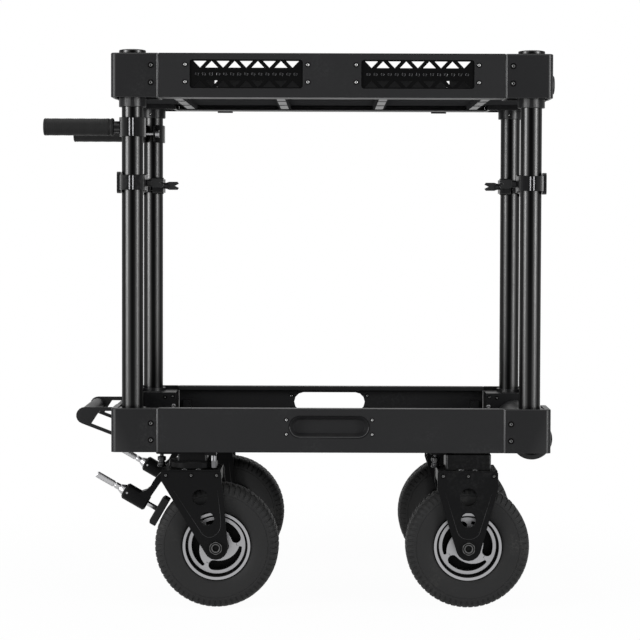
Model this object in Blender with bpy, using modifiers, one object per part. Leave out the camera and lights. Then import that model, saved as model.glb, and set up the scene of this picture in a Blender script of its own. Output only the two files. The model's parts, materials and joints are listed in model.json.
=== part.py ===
"""Cart workstation for film sets: two shelves on four posts, with push handles, a lift handle,
a loading roller, accessory collars and four casters, the left two swivelling and braked.

Metres, +Z up, the floor at z = 0. X runs along the shelves with the push handles at -X, the front is -Y.
Shapes are written about the middle of the shelves, and the empty "cart" then centres the whole on x = 0.
"""

import math

import bmesh
import bpy
from mathutils import Matrix, Vector

# Shelves
SHELF_LENGTH = 0.880
SHELF_WIDTH = 0.540
BOTTOM_Z = 0.316
TOP_Z = 1.024
RAIL_HEIGHT = 0.088
WALL = 0.003
LIP = 0.022
LIP_RETURN = 0.006
BOTTOM_FLANGE = 0.022
TOP_FLANGE = 0.057
FIT = 0.0003

# Corner castings
CORNER_SIDE = 0.095
CORNER_PROUD = 0.0015
CORNER_WALL = 0.006
CORNER_ROUND = 0.010
CORNER_STRIP = 0.007
CORNER_RECESS = 0.008
CORNER_RIM = 0.012
CORNER_RIB = 0.005

# Posts and the parts clamped to them
POST_R = 0.0215
POST_WALL = 0.0025
POST_INSET = 0.040
SOCKET_WALL = 0.0055
SOCKET_FLOOR = 0.006
SLEEVE_DROP = 0.018
CAP_R = 0.027
CAP_HEIGHT = 0.009
POST_STEPS = 20

# Bumpers on the right end of the top shelf
BUMPER_R = 0.019
BUMPER_PROUD = 0.006
BUMPER_RISE = 0.029
BUMPER_Z = TOP_Z + BUMPER_RISE
BUMPER_CHAMFER = 0.0015

# Truss plate in the windows of the top front rail
WINDOW_NEAR = 0.058
WINDOW_FAR = 0.283
WINDOW_LOW = 0.018
WINDOW_HIGH = 0.075
WINDOW_ROUND = 0.005
TRUSS_THICK = 0.003
TRUSS_PITCH = 0.046
TRUSS_BASE = 0.028
TRUSS_HEIGHT = 0.0133
TRUSS_COUNT = 5
TRUSS_EDGE = 0.0025
TRUSS_HOLE_R = 0.0033
TRUSS_HOLE_PITCH = 0.014
TRUSS_HOLES = 15

# Hand-holds of the bottom rails
HOLD_X = -0.0035
HOLD_LENGTH = 0.160
HOLD_HEIGHT = 0.043
HOLD_LOW = 0.030
HOLD_DEPTH = 0.014
HOLD_SLOPE = 0.008
HOLD_WALL = 0.002

# Back gate of the top shelf
GATE_HALF = 0.259
GATE_GAP = 0.006
GATE_LOW = 0.036
STRAP_X = 0.241
STRAP_WIDTH = 0.034
STRAP_DROP = 0.003
STRAP_REACH = 0.060

# Pans
BAR_WIDTH = 0.026
BAR_HEIGHT = 0.008
BAR_SPACING = 0.2087
PLANK_GROOVES = (-0.097, 0.052)
GROOVE_WIDTH = 0.004
GROOVE_DEPTH = 0.0015
END_WALL_LIP = 0.015
PAD_LENGTH = 0.090
PAD_WIDTH = 0.067
PAD_INSET = 0.025
PAD_FAR = SHELF_WIDTH / 2 - PAD_INSET
PAD_NEAR = PAD_FAR - PAD_WIDTH

# Loading roller and its guard
ROLLER_INSET = 0.029
ROLLER_RISE = 0.018
ROLLER_X = SHELF_LENGTH / 2 - ROLLER_INSET
ROLLER_Z = BOTTOM_Z + ROLLER_RISE
ROLLER_R = 0.0426
ROLLER_AXLE_R = 0.006
ROLLER_AXLE_REACH = 0.0095
ROLLER_CHAMFER = 0.002
GUARD_GAP = 0.0024
GUARD_THICK = 0.0025
GUARD_END = 75.0
GUARD_STEPS = 14

# Lift handle
LIFT_REACH = 0.071
LIFT_RISE = 0.058
LIFT_NOSE_X = -SHELF_LENGTH / 2 - LIFT_REACH
LIFT_NOSE_Z = BOTTOM_Z + LIFT_RISE
LIFT_NOSE_R = 0.0175
LIFT_BAR_R = 0.015
LIFT_PLATE = 0.005
LIFT_HALF = 0.118
LIFT_SLOPE = 21.0
LIFT_KNEE = 0.016
LIFT_FOOT_RISE = 0.011
LIFT_KNEE_X = -SHELF_LENGTH / 2 - LIFT_KNEE
LIFT_FOOT_Z = BOTTOM_Z + LIFT_FOOT_RISE
LIFT_ARM = 0.007
LIFT_FOOT = 0.020
LIFT_FOOT_THICK = 0.003
LIFT_WINDOW_NEAR = 0.014
LIFT_WINDOW_TOP = 0.008
LIFT_WINDOW_LEAN = 0.0308

# Collars
COLLAR_DROP = 0.169
COLLAR_Z = TOP_Z - COLLAR_DROP
COLLAR_HALF = 0.026
COLLAR_HEIGHT = 0.030
COLLAR_ROUND = 0.010
COLLAR_PLATE = 0.043
COLLAR_PLATE_THICK = 0.004
COLLAR_PLATE_WIDTH = 0.036
COLLAR_SLOT = 0.004
EAR_REACH = 0.044
EAR_HEIGHT = 0.036
EAR_OUTER = 0.014
EAR_ROUND = 0.006
CLAMP_SCREW_Y = 0.034
FIN_SPREAD = 0.0035
FIN_THICK = 0.0016
FIN_REACH = 0.004
HINGE_GAP = 0.014
HINGE_DEPTH = 0.0022
WING_SHAFT_R = 0.0032
WING_HUB_R = 0.007
WING_TIP = 0.060
WING_HALF = 0.009
WING_THICK = 0.0045

# Push handles, the back one clamped a little higher than the front one
PUSH_DROP_FRONT = 0.058
PUSH_DROP_BACK = 0.0535
PUSH_Z = {-1: TOP_Z - PUSH_DROP_FRONT, 1: TOP_Z - PUSH_DROP_BACK}
PUSH_HEIGHT = 0.038
PUSH_HALF = 0.025
PUSH_NECK_R = 0.012
PUSH_CORE_R = 0.009
GRIP_R = 0.018
GRIP_NEAR = 0.037
GRIP_FAR = 0.178
GRIP_END_WALL = 0.006
PUSH_SLOT_IN = 0.004
PUSH_SLOT_OUT = 0.014
PUSH_EAR_IN = 0.003
PUSH_EAR_OUT = 0.010
PUSH_BOLT_R = 0.004
PUSH_BOLT_Y = 0.0355
PUSH_EAR_REACH = 0.047
PUSH_NUT_R = 0.0095
PUSH_NUT_LENGTH = 0.009
PUSH_BOLT_HEAD_R = 0.007
PUSH_BOLT_HEAD = 0.005

# Wheels
TYRE_R = 0.126
TYRE_HALF = 0.040
RIM_R = 0.0684
RIM_HALF = 0.033
HUB_R = 0.020
AXLE_R = 0.006
WHEEL_STEPS = 24
# Tyre section from the tread's edge inwards, as shares of its radius and of its half width
TYRE_SECTION = ((0.825, 1.0), (0.94, 0.95), (0.985, 0.80), (1.0, 0.55))
TYRE_BEAD = 0.75
WEB_HALF = 0.008
RIM_RING_INNER = 0.051
RIM_RING_OUTER = 0.058
RIM_RING_HALF = 0.020
RIM_LIP = 0.006
WINDOW_OUTER = 0.0505
COMMA_NARROW = 0.0028
COMMA_FAT = 0.0085
COMMA_START = -6.0
COMMA_SWEEP = -94.0
FIXED_WHEEL_TURN = -36.0

# Casters
CASTER_INSET = 0.050
SWIVEL_INSET = 0.162
FIXED_INSET = 0.164
CASTER_Y = SHELF_WIDTH / 2 - CASTER_INSET
SWIVEL_X = -SHELF_LENGTH / 2 + SWIVEL_INSET
FIXED_X = SHELF_LENGTH / 2 - FIXED_INSET
TRAIL = 0.0485
FORK_HALF = 0.054
FORK_PLATE = 0.006
FORK_TOP = 0.277
FORK_BLOCK_TOP = 0.2807
FORK_BLOCK_LOW = 0.2565
FORK_BLOCK_INSET = 0.001
AXLE_HEAD_R = 0.0136
AXLE_HEAD = 0.006
KINGPIN_R = 0.008
KINGPIN_TOP = 0.3095
HEAD_LOW = 0.281
HEAD_RING_R = 0.049
HEAD_RING = 0.016
HEAD_BLOCK = 0.057
HEAD_BLOCK_DEPTH = 0.070
HEAD_CHAMFER = 0.003
HEAD_BOX = 0.090
HEAD_BOX_TOP = 0.312
HEAD_BOX_ROUND = 0.006
PIN_X = 0.043
PIN_Y = 0.040
PIN_R = 0.0055
PIN_LOW = 0.284
PIN_LUG = 0.006
PLUNGER_X = -0.064
PLUNGER_KNOB_R = 0.009
PLUNGER_KNOB_LOW = 0.2815
PLUNGER_KNOB = 0.021
PLUNGER_SHAFT_R = 0.004
PLUNGER_TRAVEL = 0.005
PLUNGER_LUG_R = 0.012

# Screw brakes, on a line that leaves the wheel's centre at this angle above -X
BRAKE_ANGLE = 30.0
BRAKE_PAD_NEAR = 0.1269
BRAKE_PAD_THICK = 0.016
BRAKE_PAD_LENGTH = 0.060
BRAKE_PAD_WIDTH = 0.040
BRAKE_SOCKET = 0.004
BRAKE_BLOCK_NEAR = 0.163
BRAKE_BLOCK_FAR = 0.217
BRAKE_BLOCK_R = 0.0173
BRAKE_BLOCK_CHAMFER = 0.0035
BRAKE_ARM_HALF = 0.014
BRAKE_ROD_R = 0.005
BRAKE_NECK = 0.011
BRAKE_NECK_R = 0.011
BRAKE_KNOB_R = 0.0065
BRAKE_KNOB_FAR = 0.282

# Sides of the round shapes: small rods, holes and bars, the forks' rounder edges, and short arcs
SMALL_STEPS = 8
ROD_STEPS = 12
ROUND_STEPS = 16
ARC_STEPS = 6
SHARP_ANGLE = 32.0

SIDES = {-1: "left", 1: "right"}
FACES = {-1: "front", 1: "back"}

# Places that follow from the sizes above
RAIL_Y = SHELF_WIDTH / 2 - CORNER_PROUD
POST_X = SHELF_LENGTH / 2 - POST_INSET
POST_Y = SHELF_WIDTH / 2 - POST_INSET
CORNER_X = SHELF_LENGTH / 2 - CORNER_SIDE
CORNER_Y = SHELF_WIDTH / 2 - CORNER_SIDE
RAIL_HALF = CORNER_X - FIT
POST_LOW = BOTTOM_Z + SOCKET_FLOOR + FIT
TOP_EDGE = TOP_Z + RAIL_HEIGHT
BORE_R = POST_R + FIT
FACET = math.cos(math.pi / WHEEL_STEPS)
AXLE_Z = TYRE_R * FACET
LEFT_REACH = POST_X + GRIP_FAR
RIGHT_REACH = ROLLER_X + ROLLER_R
CART_X = (LEFT_REACH - RIGHT_REACH) / 2

STEEL_BLACK = ((0.012, 0.012, 0.013), 0.3, 0.45)
STEEL_BRIGHT = ((0.55, 0.55, 0.56), 1.0, 0.3)
RUBBER = ((0.010, 0.010, 0.010), 0.0, 0.8)
PLASTIC_BLACK = ((0.014, 0.014, 0.015), 0.0, 0.5)
CHROME = ((0.75, 0.75, 0.76), 1.0, 0.12)
PLATE_GREY = ((0.10, 0.10, 0.105), 0.8, 0.4)


# Scene and helpers


def clear_scene():
    for obj in list(bpy.data.objects):
        bpy.data.objects.remove(obj, do_unlink=True)


def new_collection(name):
    made = bpy.data.collections.new(name)
    bpy.context.scene.collection.children.link(made)
    return made


clear_scene()
PARTS = new_collection("cart_workstation")
CUTTERS = new_collection("cutters")
CART = bpy.data.objects.new("cart", None)
CART.location = (CART_X, 0, 0)
PARTS.objects.link(CART)


def material(name, finish):
    """Principled material of a sub-part, made once for all its copies."""
    if name in bpy.data.materials:
        return bpy.data.materials[name]
    colour, metallic, roughness = finish
    made = bpy.data.materials.new(name)
    made.use_nodes = True
    shader = made.node_tree.nodes["Principled BSDF"]
    shader.inputs["Base Color"].default_value = (*colour, 1.0)
    shader.inputs["Metallic"].default_value = metallic
    shader.inputs["Roughness"].default_value = roughness
    return made


def empty(name, place, parent=CART):
    """Empty on a joint's axis, placed in the shelves' coordinates."""
    made = bpy.data.objects.new(name, None)
    PARTS.objects.link(made)
    made.parent = parent
    offset = Vector(place)
    while parent is not CART:
        offset -= parent.location
        parent = parent.parent
    made.location = offset
    return made


def piece(name, kind, finish, bm, carrier=CART, origin=None):
    """Finished node whose shape is given in the shelves' coordinates; its origin is on its carrier's
    axis, or at the given place."""
    base = Vector((0, 0, 0))
    above = carrier
    while above is not CART:
        base += above.location
        above = above.parent
    own = Vector(origin) - base if origin else Vector((0, 0, 0))
    bmesh.ops.translate(bm, verts=bm.verts, vec=-(base + own))
    bmesh.ops.dissolve_degenerate(bm, dist=1e-6, edges=bm.edges)
    mesh = bpy.data.meshes.new(name)
    bm.to_mesh(mesh)
    bm.free()
    mesh.shade_smooth()
    mesh.set_sharp_from_angle(angle=math.radians(SHARP_ANGLE))
    mesh.materials.append(material(kind, finish))
    made = bpy.data.objects.new(name, mesh)
    PARTS.objects.link(made)
    made.parent = carrier
    made.location = own
    return made


def scratch(data):
    """Hidden helper object in the cutters' collection."""
    obj = bpy.data.objects.new("helper", data)
    obj.hide_render = True
    obj.display_type = "WIRE"
    CUTTERS.objects.link(obj)
    return obj


def evaluated(obj):
    """The helper's shape with its modifiers, as a bmesh; the helper is removed."""
    graph = bpy.context.evaluated_depsgraph_get()
    mesh = bpy.data.meshes.new_from_object(obj.evaluated_get(graph))
    bm = bmesh.new()
    bm.from_mesh(mesh)
    bpy.data.objects.remove(obj)
    bpy.data.meshes.remove(mesh)
    return bm


def boolean(body, tool, operation):
    meshes = []
    for bm in (body, tool):
        mesh = bpy.data.meshes.new("helper")
        bm.to_mesh(mesh)
        bm.free()
        meshes.append(mesh)
    target = scratch(meshes[0])
    other = scratch(meshes[1])
    modifier = target.modifiers.new(operation, "BOOLEAN")
    modifier.operation = operation
    modifier.solver = "EXACT"
    modifier.object = other
    made = evaluated(target)
    bpy.data.objects.remove(other)
    bmesh.ops.remove_doubles(made, verts=made.verts, dist=1e-6)
    return made


def fused(body, *others):
    for other in others:
        body = boolean(body, other, "UNION")
    return body


def cut(body, *tools):
    for tool in tools:
        body = boolean(body, tool, "DIFFERENCE")
    return body


def apart(*bodies):
    """Several shapes that don't touch, kept in one bmesh for use as one tool."""
    made = bmesh.new()
    for bm in bodies:
        mesh = bpy.data.meshes.new("helper")
        bm.to_mesh(mesh)
        bm.free()
        made.from_mesh(mesh)
        bpy.data.meshes.remove(mesh)
    return made


def block(x, y, z):
    """Box between the two ends given for each axis."""
    bm = bmesh.new()
    middle = [(a + b) / 2 for a, b in (x, y, z)]
    size = [abs(b - a) for a, b in (x, y, z)]
    bmesh.ops.create_cube(bm, size=1.0, matrix=Matrix.Translation(middle) @ Matrix.Diagonal((*size, 1.0)))
    return bm


def rod(start, end, radius, end_radius=None, steps=ROD_STEPS):
    """Round bar, or a cone, from start to end."""
    bm = bmesh.new()
    start = Vector(start)
    along = Vector(end) - start
    turn = along.to_track_quat("Z", "Y").to_matrix().to_4x4()
    bmesh.ops.create_cone(
        bm,
        cap_ends=True,
        segments=steps,
        radius1=radius,
        radius2=radius if end_radius is None else end_radius,
        depth=along.length,
        matrix=Matrix.Translation(start + along / 2) @ turn,
    )
    return bm


def sheet_of(outlines, thickness):
    """Flat plate with holes from a filled curve, its thickness about z = 0."""
    curve = bpy.data.curves.new("outline", "CURVE")
    curve.dimensions = "2D"
    curve.fill_mode = "BOTH"
    curve.extrude = thickness / 2
    for points in outlines:
        spline = curve.splines.new("POLY")
        spline.points.add(len(points) - 1)
        for spot, (a, b) in zip(spline.points, points):
            spot.co = (a, b, 0, 1)
        spline.use_cyclic_u = True
    bm = evaluated(scratch(curve))
    bpy.data.curves.remove(curve)
    bmesh.ops.remove_doubles(bm, verts=bm.verts, dist=1e-6)
    bmesh.ops.dissolve_limit(bm, angle_limit=1e-4, verts=bm.verts, edges=bm.edges)
    return bm


def prism_of(points, thickness):
    """Outline without holes as a prism, its thickness about z = 0."""
    bm = bmesh.new()
    face = bm.faces.new([bm.verts.new((a, b, -thickness / 2)) for a, b in points])
    grown = bmesh.ops.extrude_face_region(bm, geom=[face], use_keep_orig=True)
    raised = [v for v in grown["geom"] if isinstance(v, bmesh.types.BMVert)]
    bmesh.ops.translate(bm, verts=raised, vec=(0, 0, thickness))
    bmesh.ops.recalc_face_normals(bm, faces=bm.faces)
    return bm


def extruded(outlines, low, high, plane="XY"):
    """Flat outline, with any holes after it, drawn in a plane and extruded across it from low to high."""
    thickness = high - low
    bm = prism_of(outlines[0], thickness) if len(outlines) == 1 else sheet_of(outlines, thickness)
    middle = (low + high) / 2
    for vert in bm.verts:
        a, b, c = vert.co
        c += middle
        vert.co = {"XY": (a, b, c), "XZ": (a, c, b), "YZ": (c, a, b)}[plane]
    if bm.calc_volume(signed=True) < 0:
        bmesh.ops.reverse_faces(bm, faces=bm.faces)
    return bm


def turned(profile, steps, centre, axis="Z", turn=0.0, closed=False):
    """Profile of (radius, height) points turned about an axis through centre.

    A closed profile makes a ring."""
    mesh = bpy.data.meshes.new("profile")
    edges = [(i, i + 1) for i in range(len(profile) - 1)]
    if closed:
        edges.append((len(profile) - 1, 0))
    mesh.from_pydata([(r, 0, h) for r, h in profile], edges, [])
    obj = scratch(mesh)
    screw = obj.modifiers.new("turn", "SCREW")
    screw.steps = steps
    screw.render_steps = steps
    screw.use_merge_vertices = True
    screw.merge_threshold = 1e-6
    bm = evaluated(obj)
    bpy.data.meshes.remove(mesh)
    bmesh.ops.remove_doubles(bm, verts=bm.verts, dist=1e-6)
    bmesh.ops.recalc_face_normals(bm, faces=bm.faces)
    matrix = Matrix.Translation(centre)
    if axis == "Y":
        matrix = matrix @ Matrix.Rotation(math.radians(-90), 4, "X")
    if axis == "X":
        matrix = matrix @ Matrix.Rotation(math.radians(90), 4, "Y")
    matrix = matrix @ Matrix.Rotation(math.radians(turn), 4, "Z")
    bmesh.ops.transform(bm, verts=bm.verts, matrix=matrix)
    return bm


def hull(points):
    """Convex solid round the points."""
    bm = bmesh.new()
    for point in points:
        bm.verts.new(point)
    made = bmesh.ops.convex_hull(bm, input=bm.verts)
    inside = {v for v in made["geom_interior"] + made["geom_unused"] if isinstance(v, bmesh.types.BMVert)}
    bmesh.ops.delete(bm, geom=list(inside), context="VERTS")
    bmesh.ops.dissolve_limit(bm, angle_limit=1e-4, verts=bm.verts, edges=bm.edges)
    bmesh.ops.recalc_face_normals(bm, faces=bm.faces)
    return bm


def arc(centre, radius, start, end, steps):
    """Points on an arc, angles in degrees, both ends included."""
    points = []
    for i in range(steps + 1):
        angle = math.radians(start + (end - start) * i / steps)
        points.append((centre[0] + radius * math.cos(angle), centre[1] + radius * math.sin(angle)))
    return points


def rounded(x, y, radius, steps=2):
    """Rectangle outline between the ends x and y; radius is one value or one for each corner."""
    x0, x1 = sorted(x)
    y0, y1 = sorted(y)
    radii = [radius] * 4 if isinstance(radius, float) else radius
    corners = ((x1, y1, -1, -1, 0), (x0, y1, 1, -1, 90), (x0, y0, 1, 1, 180), (x1, y0, -1, 1, 270))
    points = []
    for (cx, cy, dx, dy, start), r in zip(corners, radii):
        points += arc((cx + dx * r, cy + dy * r), r, start, start + 90, steps)
    return points


def circle(centre, radius, steps):
    return arc(centre, radius, 0, 360, steps)[:-1]


def ends(side, near, far):
    """Pair of limits on one side of the middle, in rising order."""
    return tuple(sorted((side * near, side * far)))


# Rails


def rail(side, base, flange):
    """Folded rail between two corners: web outside, top lip with a return, and a bottom flange."""
    high = base + RAIL_HEIGHT
    section = [
        (0, base),
        (flange, base),
        (flange, base + WALL),
        (WALL, base + WALL),
        (WALL, high - WALL),
        (LIP - WALL, high - WALL),
        (LIP - WALL, high - WALL - LIP_RETURN),
        (LIP, high - WALL - LIP_RETURN),
        (LIP, high),
        (0, high),
    ]
    outline = [(side * (RAIL_Y - depth), z) for depth, z in section]
    return extruded([outline], -RAIL_HALF, RAIL_HALF, "YZ")


def hold_outline(inset):
    """Stadium of the hand-holds, drawn in by the inset."""
    half = HOLD_LENGTH / 2 - inset
    radius = HOLD_HEIGHT / 2 - inset
    middle = BOTTOM_Z + HOLD_LOW + HOLD_HEIGHT / 2
    right = arc((HOLD_X + half - radius, middle), radius, -90, 90, ARC_STEPS)
    left = arc((HOLD_X - half + radius, middle), radius, 90, 270, ARC_STEPS)
    return right + left


def dish(depth, grow, face):
    """Sloping stadium dish behind the front rail's face."""
    wide = [(x, face, z) for x, z in hold_outline(-grow)]
    narrow = [(x, -RAIL_Y + depth, z) for x, z in hold_outline(HOLD_SLOPE - grow)]
    return hull(wide + narrow)


def bottom_front_rail():
    body = rail(-1, BOTTOM_Z, BOTTOM_FLANGE)
    body = fused(body, dish(HOLD_DEPTH + HOLD_WALL, HOLD_WALL, -RAIL_Y + WALL / 2))
    mouth = extruded([hold_outline(0.0)], -RAIL_Y - WALL, -RAIL_Y, "XZ")
    return cut(body, dish(HOLD_DEPTH, 0.0, -RAIL_Y), mouth)


def bottom_back_rail():
    body = rail(1, BOTTOM_Z, BOTTOM_FLANGE)
    return cut(body, extruded([hold_outline(0.0)], RAIL_Y - 2 * WALL, RAIL_Y + WALL, "XZ"))


def window(side):
    height = (TOP_Z + WINDOW_LOW, TOP_Z + WINDOW_HIGH)
    return rounded(ends(side, WINDOW_NEAR, WINDOW_FAR), height, WINDOW_ROUND)


def top_front_rail():
    body = rail(-1, TOP_Z, TOP_FLANGE)
    openings = [extruded([window(side)], -RAIL_Y - WALL, -RAIL_Y + 2 * WALL, "XZ") for side in (-1, 1)]
    return cut(body, apart(*openings))


def top_back_rail():
    """Rail with a notch in its upper part for the gate."""
    body = rail(1, TOP_Z, TOP_FLANGE)
    notch = GATE_HALF + GATE_GAP
    tool = block((-notch, notch), (RAIL_Y - LIP - WALL, RAIL_Y + WALL), (TOP_Z + GATE_LOW, TOP_EDGE + WALL))
    return cut(body, tool)


def top_back_gate():
    """Drop-in panel in the back rail's notch, with two straps that reach past the rail's lower edge."""
    low = TOP_Z + GATE_LOW + FIT
    section = [
        (0, low),
        (WALL, low),
        (WALL, TOP_EDGE - WALL),
        (LIP - WALL, TOP_EDGE - WALL),
        (LIP - WALL, TOP_EDGE - WALL - LIP_RETURN),
        (LIP, TOP_EDGE - WALL - LIP_RETURN),
        (LIP, TOP_EDGE),
        (0, TOP_EDGE),
    ]
    outline = [(RAIL_Y - depth, z) for depth, z in section]
    body = extruded([outline], -GATE_HALF, GATE_HALF, "YZ")
    half = STRAP_WIDTH / 2
    for side in (-1, 1):
        across = (side * STRAP_X - half, side * STRAP_X + half)
        high = TOP_Z + STRAP_REACH
        upper = block(across, (RAIL_Y - WALL / 2, RAIL_Y + WALL), (low + FIT, high))
        strap = block(across, (RAIL_Y + FIT, RAIL_Y + WALL), (TOP_Z - STRAP_DROP, high - FIT))
        body = fused(body, fused(upper, strap))
    return body


# Truss plate


def triangle(x, low, high, up):
    """Small triangular window that points up or down."""
    base, tip = (low, high) if up else (high, low)
    half = (TRUSS_BASE - TRUSS_EDGE) / 2
    return [(x - half, base), (x + half, base), (x, tip)]


def truss_holes(side):
    """Two rows of alternate triangles and the row of round holes between them, for one window."""
    left = -WINDOW_FAR if side < 0 else WINDOW_NEAR
    middle = left + (WINDOW_FAR - WINDOW_NEAR) / 2
    low = TOP_Z + WINDOW_LOW
    high = TOP_Z + WINDOW_HIGH
    holes = []
    for i in range(2 * TRUSS_COUNT - 1):
        x = middle + (i - TRUSS_COUNT + 1) * TRUSS_PITCH / 2
        down = i % 2 == 0
        top = high - TRUSS_EDGE
        holes.append(triangle(x, top - TRUSS_HEIGHT, top, not down))
        bottom = low + TRUSS_EDGE
        holes.append(triangle(x, bottom, bottom + TRUSS_HEIGHT, down))
    for i in range(TRUSS_HOLES):
        x = middle + (i - (TRUSS_HOLES - 1) / 2) * TRUSS_HOLE_PITCH
        holes.append(circle((x, (low + high) / 2), TRUSS_HOLE_R, ARC_STEPS))
    return holes


def top_truss_plate():
    half = WINDOW_FAR + BAR_WIDTH
    near = -RAIL_Y + WALL + FIT
    edge = rounded(
        (-half, half),
        (TOP_Z + WALL + FIT, TOP_EDGE - WALL - FIT),
        WINDOW_ROUND,
    )
    outlines = [edge] + truss_holes(-1) + truss_holes(1)
    return extruded(outlines, near, near + TRUSS_THICK, "XZ")


# Corner castings


def corner_body(sx, sy, base):
    """Casting open from below, with a round outer corner and shallow strips where it meets the rails."""
    high = base + RAIL_HEIGHT
    out_x, out_y = SHELF_LENGTH / 2, SHELF_WIDTH / 2
    quarter = [(CORNER_X, CORNER_Y), (out_x - CORNER_PROUD, CORNER_Y), (out_x, CORNER_Y + CORNER_STRIP)]
    quarter += arc((out_x - CORNER_ROUND, out_y - CORNER_ROUND), CORNER_ROUND, 0, 90, 4)
    quarter += [(CORNER_X + CORNER_STRIP, out_y), (CORNER_X, out_y - CORNER_PROUD)]
    body = extruded([[(sx * a, sy * b) for a, b in quarter]], base, high)
    top_edges = [e for e in body.edges if all(abs(v.co.z - high) < 1e-6 for v in e.verts)]
    bmesh.ops.bevel(body, geom=top_edges, offset=CORNER_PROUD, segments=1, affect="EDGES")
    hollow = block(
        ends(sx, CORNER_X + CORNER_WALL, out_x - CORNER_WALL),
        ends(sy, CORNER_Y + CORNER_WALL, out_y - CORNER_WALL),
        (base - CORNER_WALL, high - CORNER_RECESS - CORNER_WALL),
    )
    return cut(body, hollow)


def boss(sx, sy, low, high):
    """Round boss about the post with two ribs to the outer walls."""
    x, y = sx * POST_X, sy * POST_Y
    radius = BORE_R + SOCKET_WALL
    half = CORNER_RIB / 2
    lowest = max(low, BOTTOM_Z if low < TOP_Z - RAIL_HEIGHT else TOP_Z) + CORNER_WALL / 2
    reach_x = SHELF_LENGTH / 2 - CORNER_WALL / 2
    reach_y = SHELF_WIDTH / 2 - CORNER_WALL / 2
    ribs = [
        block(ends(sx, POST_X, reach_x), (y - half, y + half), (lowest, high - CORNER_WALL)),
        block((x - half, x + half), ends(sy, POST_Y, reach_y), (lowest, high - CORNER_WALL)),
    ]
    return fused(rod((x, y, low), (x, y, high), radius, steps=POST_STEPS), *ribs)


def post_bore(sx, sy, low, high):
    x, y = sx * POST_X, sy * POST_Y
    return rod((x, y, low), (x, y, high), BORE_R, steps=POST_STEPS)


def bottom_corner(sx, sy):
    """Corner with a recessed top, a blind socket for the post and, at the right, a bore for the roller."""
    high = BOTTOM_Z + RAIL_HEIGHT
    body = corner_body(sx, sy, BOTTOM_Z)
    recess = block(
        ends(sx, CORNER_X - CORNER_RIM, SHELF_LENGTH / 2 - CORNER_RIM),
        ends(sy, CORNER_Y - CORNER_RIM, SHELF_WIDTH / 2 - CORNER_RIM),
        (high - CORNER_RECESS, high + CORNER_RIM),
    )
    body = cut(body, recess)
    body = fused(body, boss(sx, sy, BOTTOM_Z, high - CORNER_PROUD))
    body = cut(body, post_bore(sx, sy, BOTTOM_Z + SOCKET_FLOOR, high + CORNER_WALL))
    if sx > 0:
        near = ends(sy, CORNER_Y - CORNER_WALL, CORNER_Y + CORNER_WALL + FIT)
        start, end = ((ROLLER_X, y, ROLLER_Z) for y in near)
        body = cut(body, rod(start, end, ROLLER_AXLE_R + FIT))
    return body


def bumper(sy):
    """Round pad on the outer side of a right corner."""
    y = sy * (CORNER_Y + CORNER_SIDE / 2)
    near, far = SHELF_LENGTH / 2 - WALL, SHELF_LENGTH / 2 + BUMPER_PROUD
    profile = [
        (0, near),
        (BUMPER_R, near),
        (BUMPER_R, far - BUMPER_CHAMFER),
        (BUMPER_R - BUMPER_CHAMFER, far),
        (0, far),
    ]
    return turned(profile, ROUND_STEPS, (0, y, BUMPER_Z), "X")


def top_corner(sx, sy):
    """Corner that the post passes through, with a sleeve below it and, at the right, a bumper."""
    body = corner_body(sx, sy, TOP_Z)
    if sx > 0:
        body = fused(body, bumper(sy))
    body = fused(body, boss(sx, sy, TOP_Z - SLEEVE_DROP, TOP_EDGE - CORNER_PROUD))
    return cut(body, post_bore(sx, sy, TOP_Z - 2 * SLEEVE_DROP, TOP_EDGE + SLEEVE_DROP))


# Pans


def corner_notches(base):
    """Clearance for the four corners, cut from a pan that is as wide as the shelf."""
    notches = []
    for sx in SIDES:
        for sy in FACES:
            across = ends(sx, RAIL_HALF, SHELF_LENGTH)
            depth = ends(sy, CORNER_Y - FIT, SHELF_WIDTH)
            notches.append(block(across, depth, (base - RAIL_HEIGHT, base + 2 * RAIL_HEIGHT)))
    return apart(*notches)


def bottom_pan():
    """Folded sheet: left end wall with a lip, floor, and the curved guard of the roller."""
    floor = BOTTOM_Z + WALL + FIT
    wide = RAIL_Y - WALL - FIT
    left = -SHELF_LENGTH / 2 + WALL
    high = BOTTOM_Z + RAIL_HEIGHT
    inner = ROLLER_R + GUARD_GAP
    outer = inner + GUARD_THICK
    roller = (ROLLER_X, ROLLER_Z)
    inner_start = 180 - math.degrees(math.asin((floor - ROLLER_Z) / inner))
    outer_start = 180 - math.degrees(math.asin((floor + WALL - ROLLER_Z) / outer))
    sheet = [(left + WALL, high - WALL), (left + END_WALL_LIP, high - WALL), (left + END_WALL_LIP, high)]
    sheet += [(left, high), (left, floor)]
    sheet += arc(roller, inner, inner_start, GUARD_END, GUARD_STEPS)
    sheet += arc(roller, outer, GUARD_END, outer_start, GUARD_STEPS)
    sheet.append((left + WALL, floor + WALL))
    body = cut(extruded([sheet], -wide, wide, "XZ"), corner_notches(BOTTOM_Z))
    half = PAD_LENGTH / 2
    for x in (SWIVEL_X, FIXED_X):
        for side in (-1, 1):
            pad = block((x - half, x + half), ends(side, PAD_NEAR, PAD_FAR), (BOTTOM_Z, floor + WALL / 2))
            body = fused(body, pad)
    return body


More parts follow.
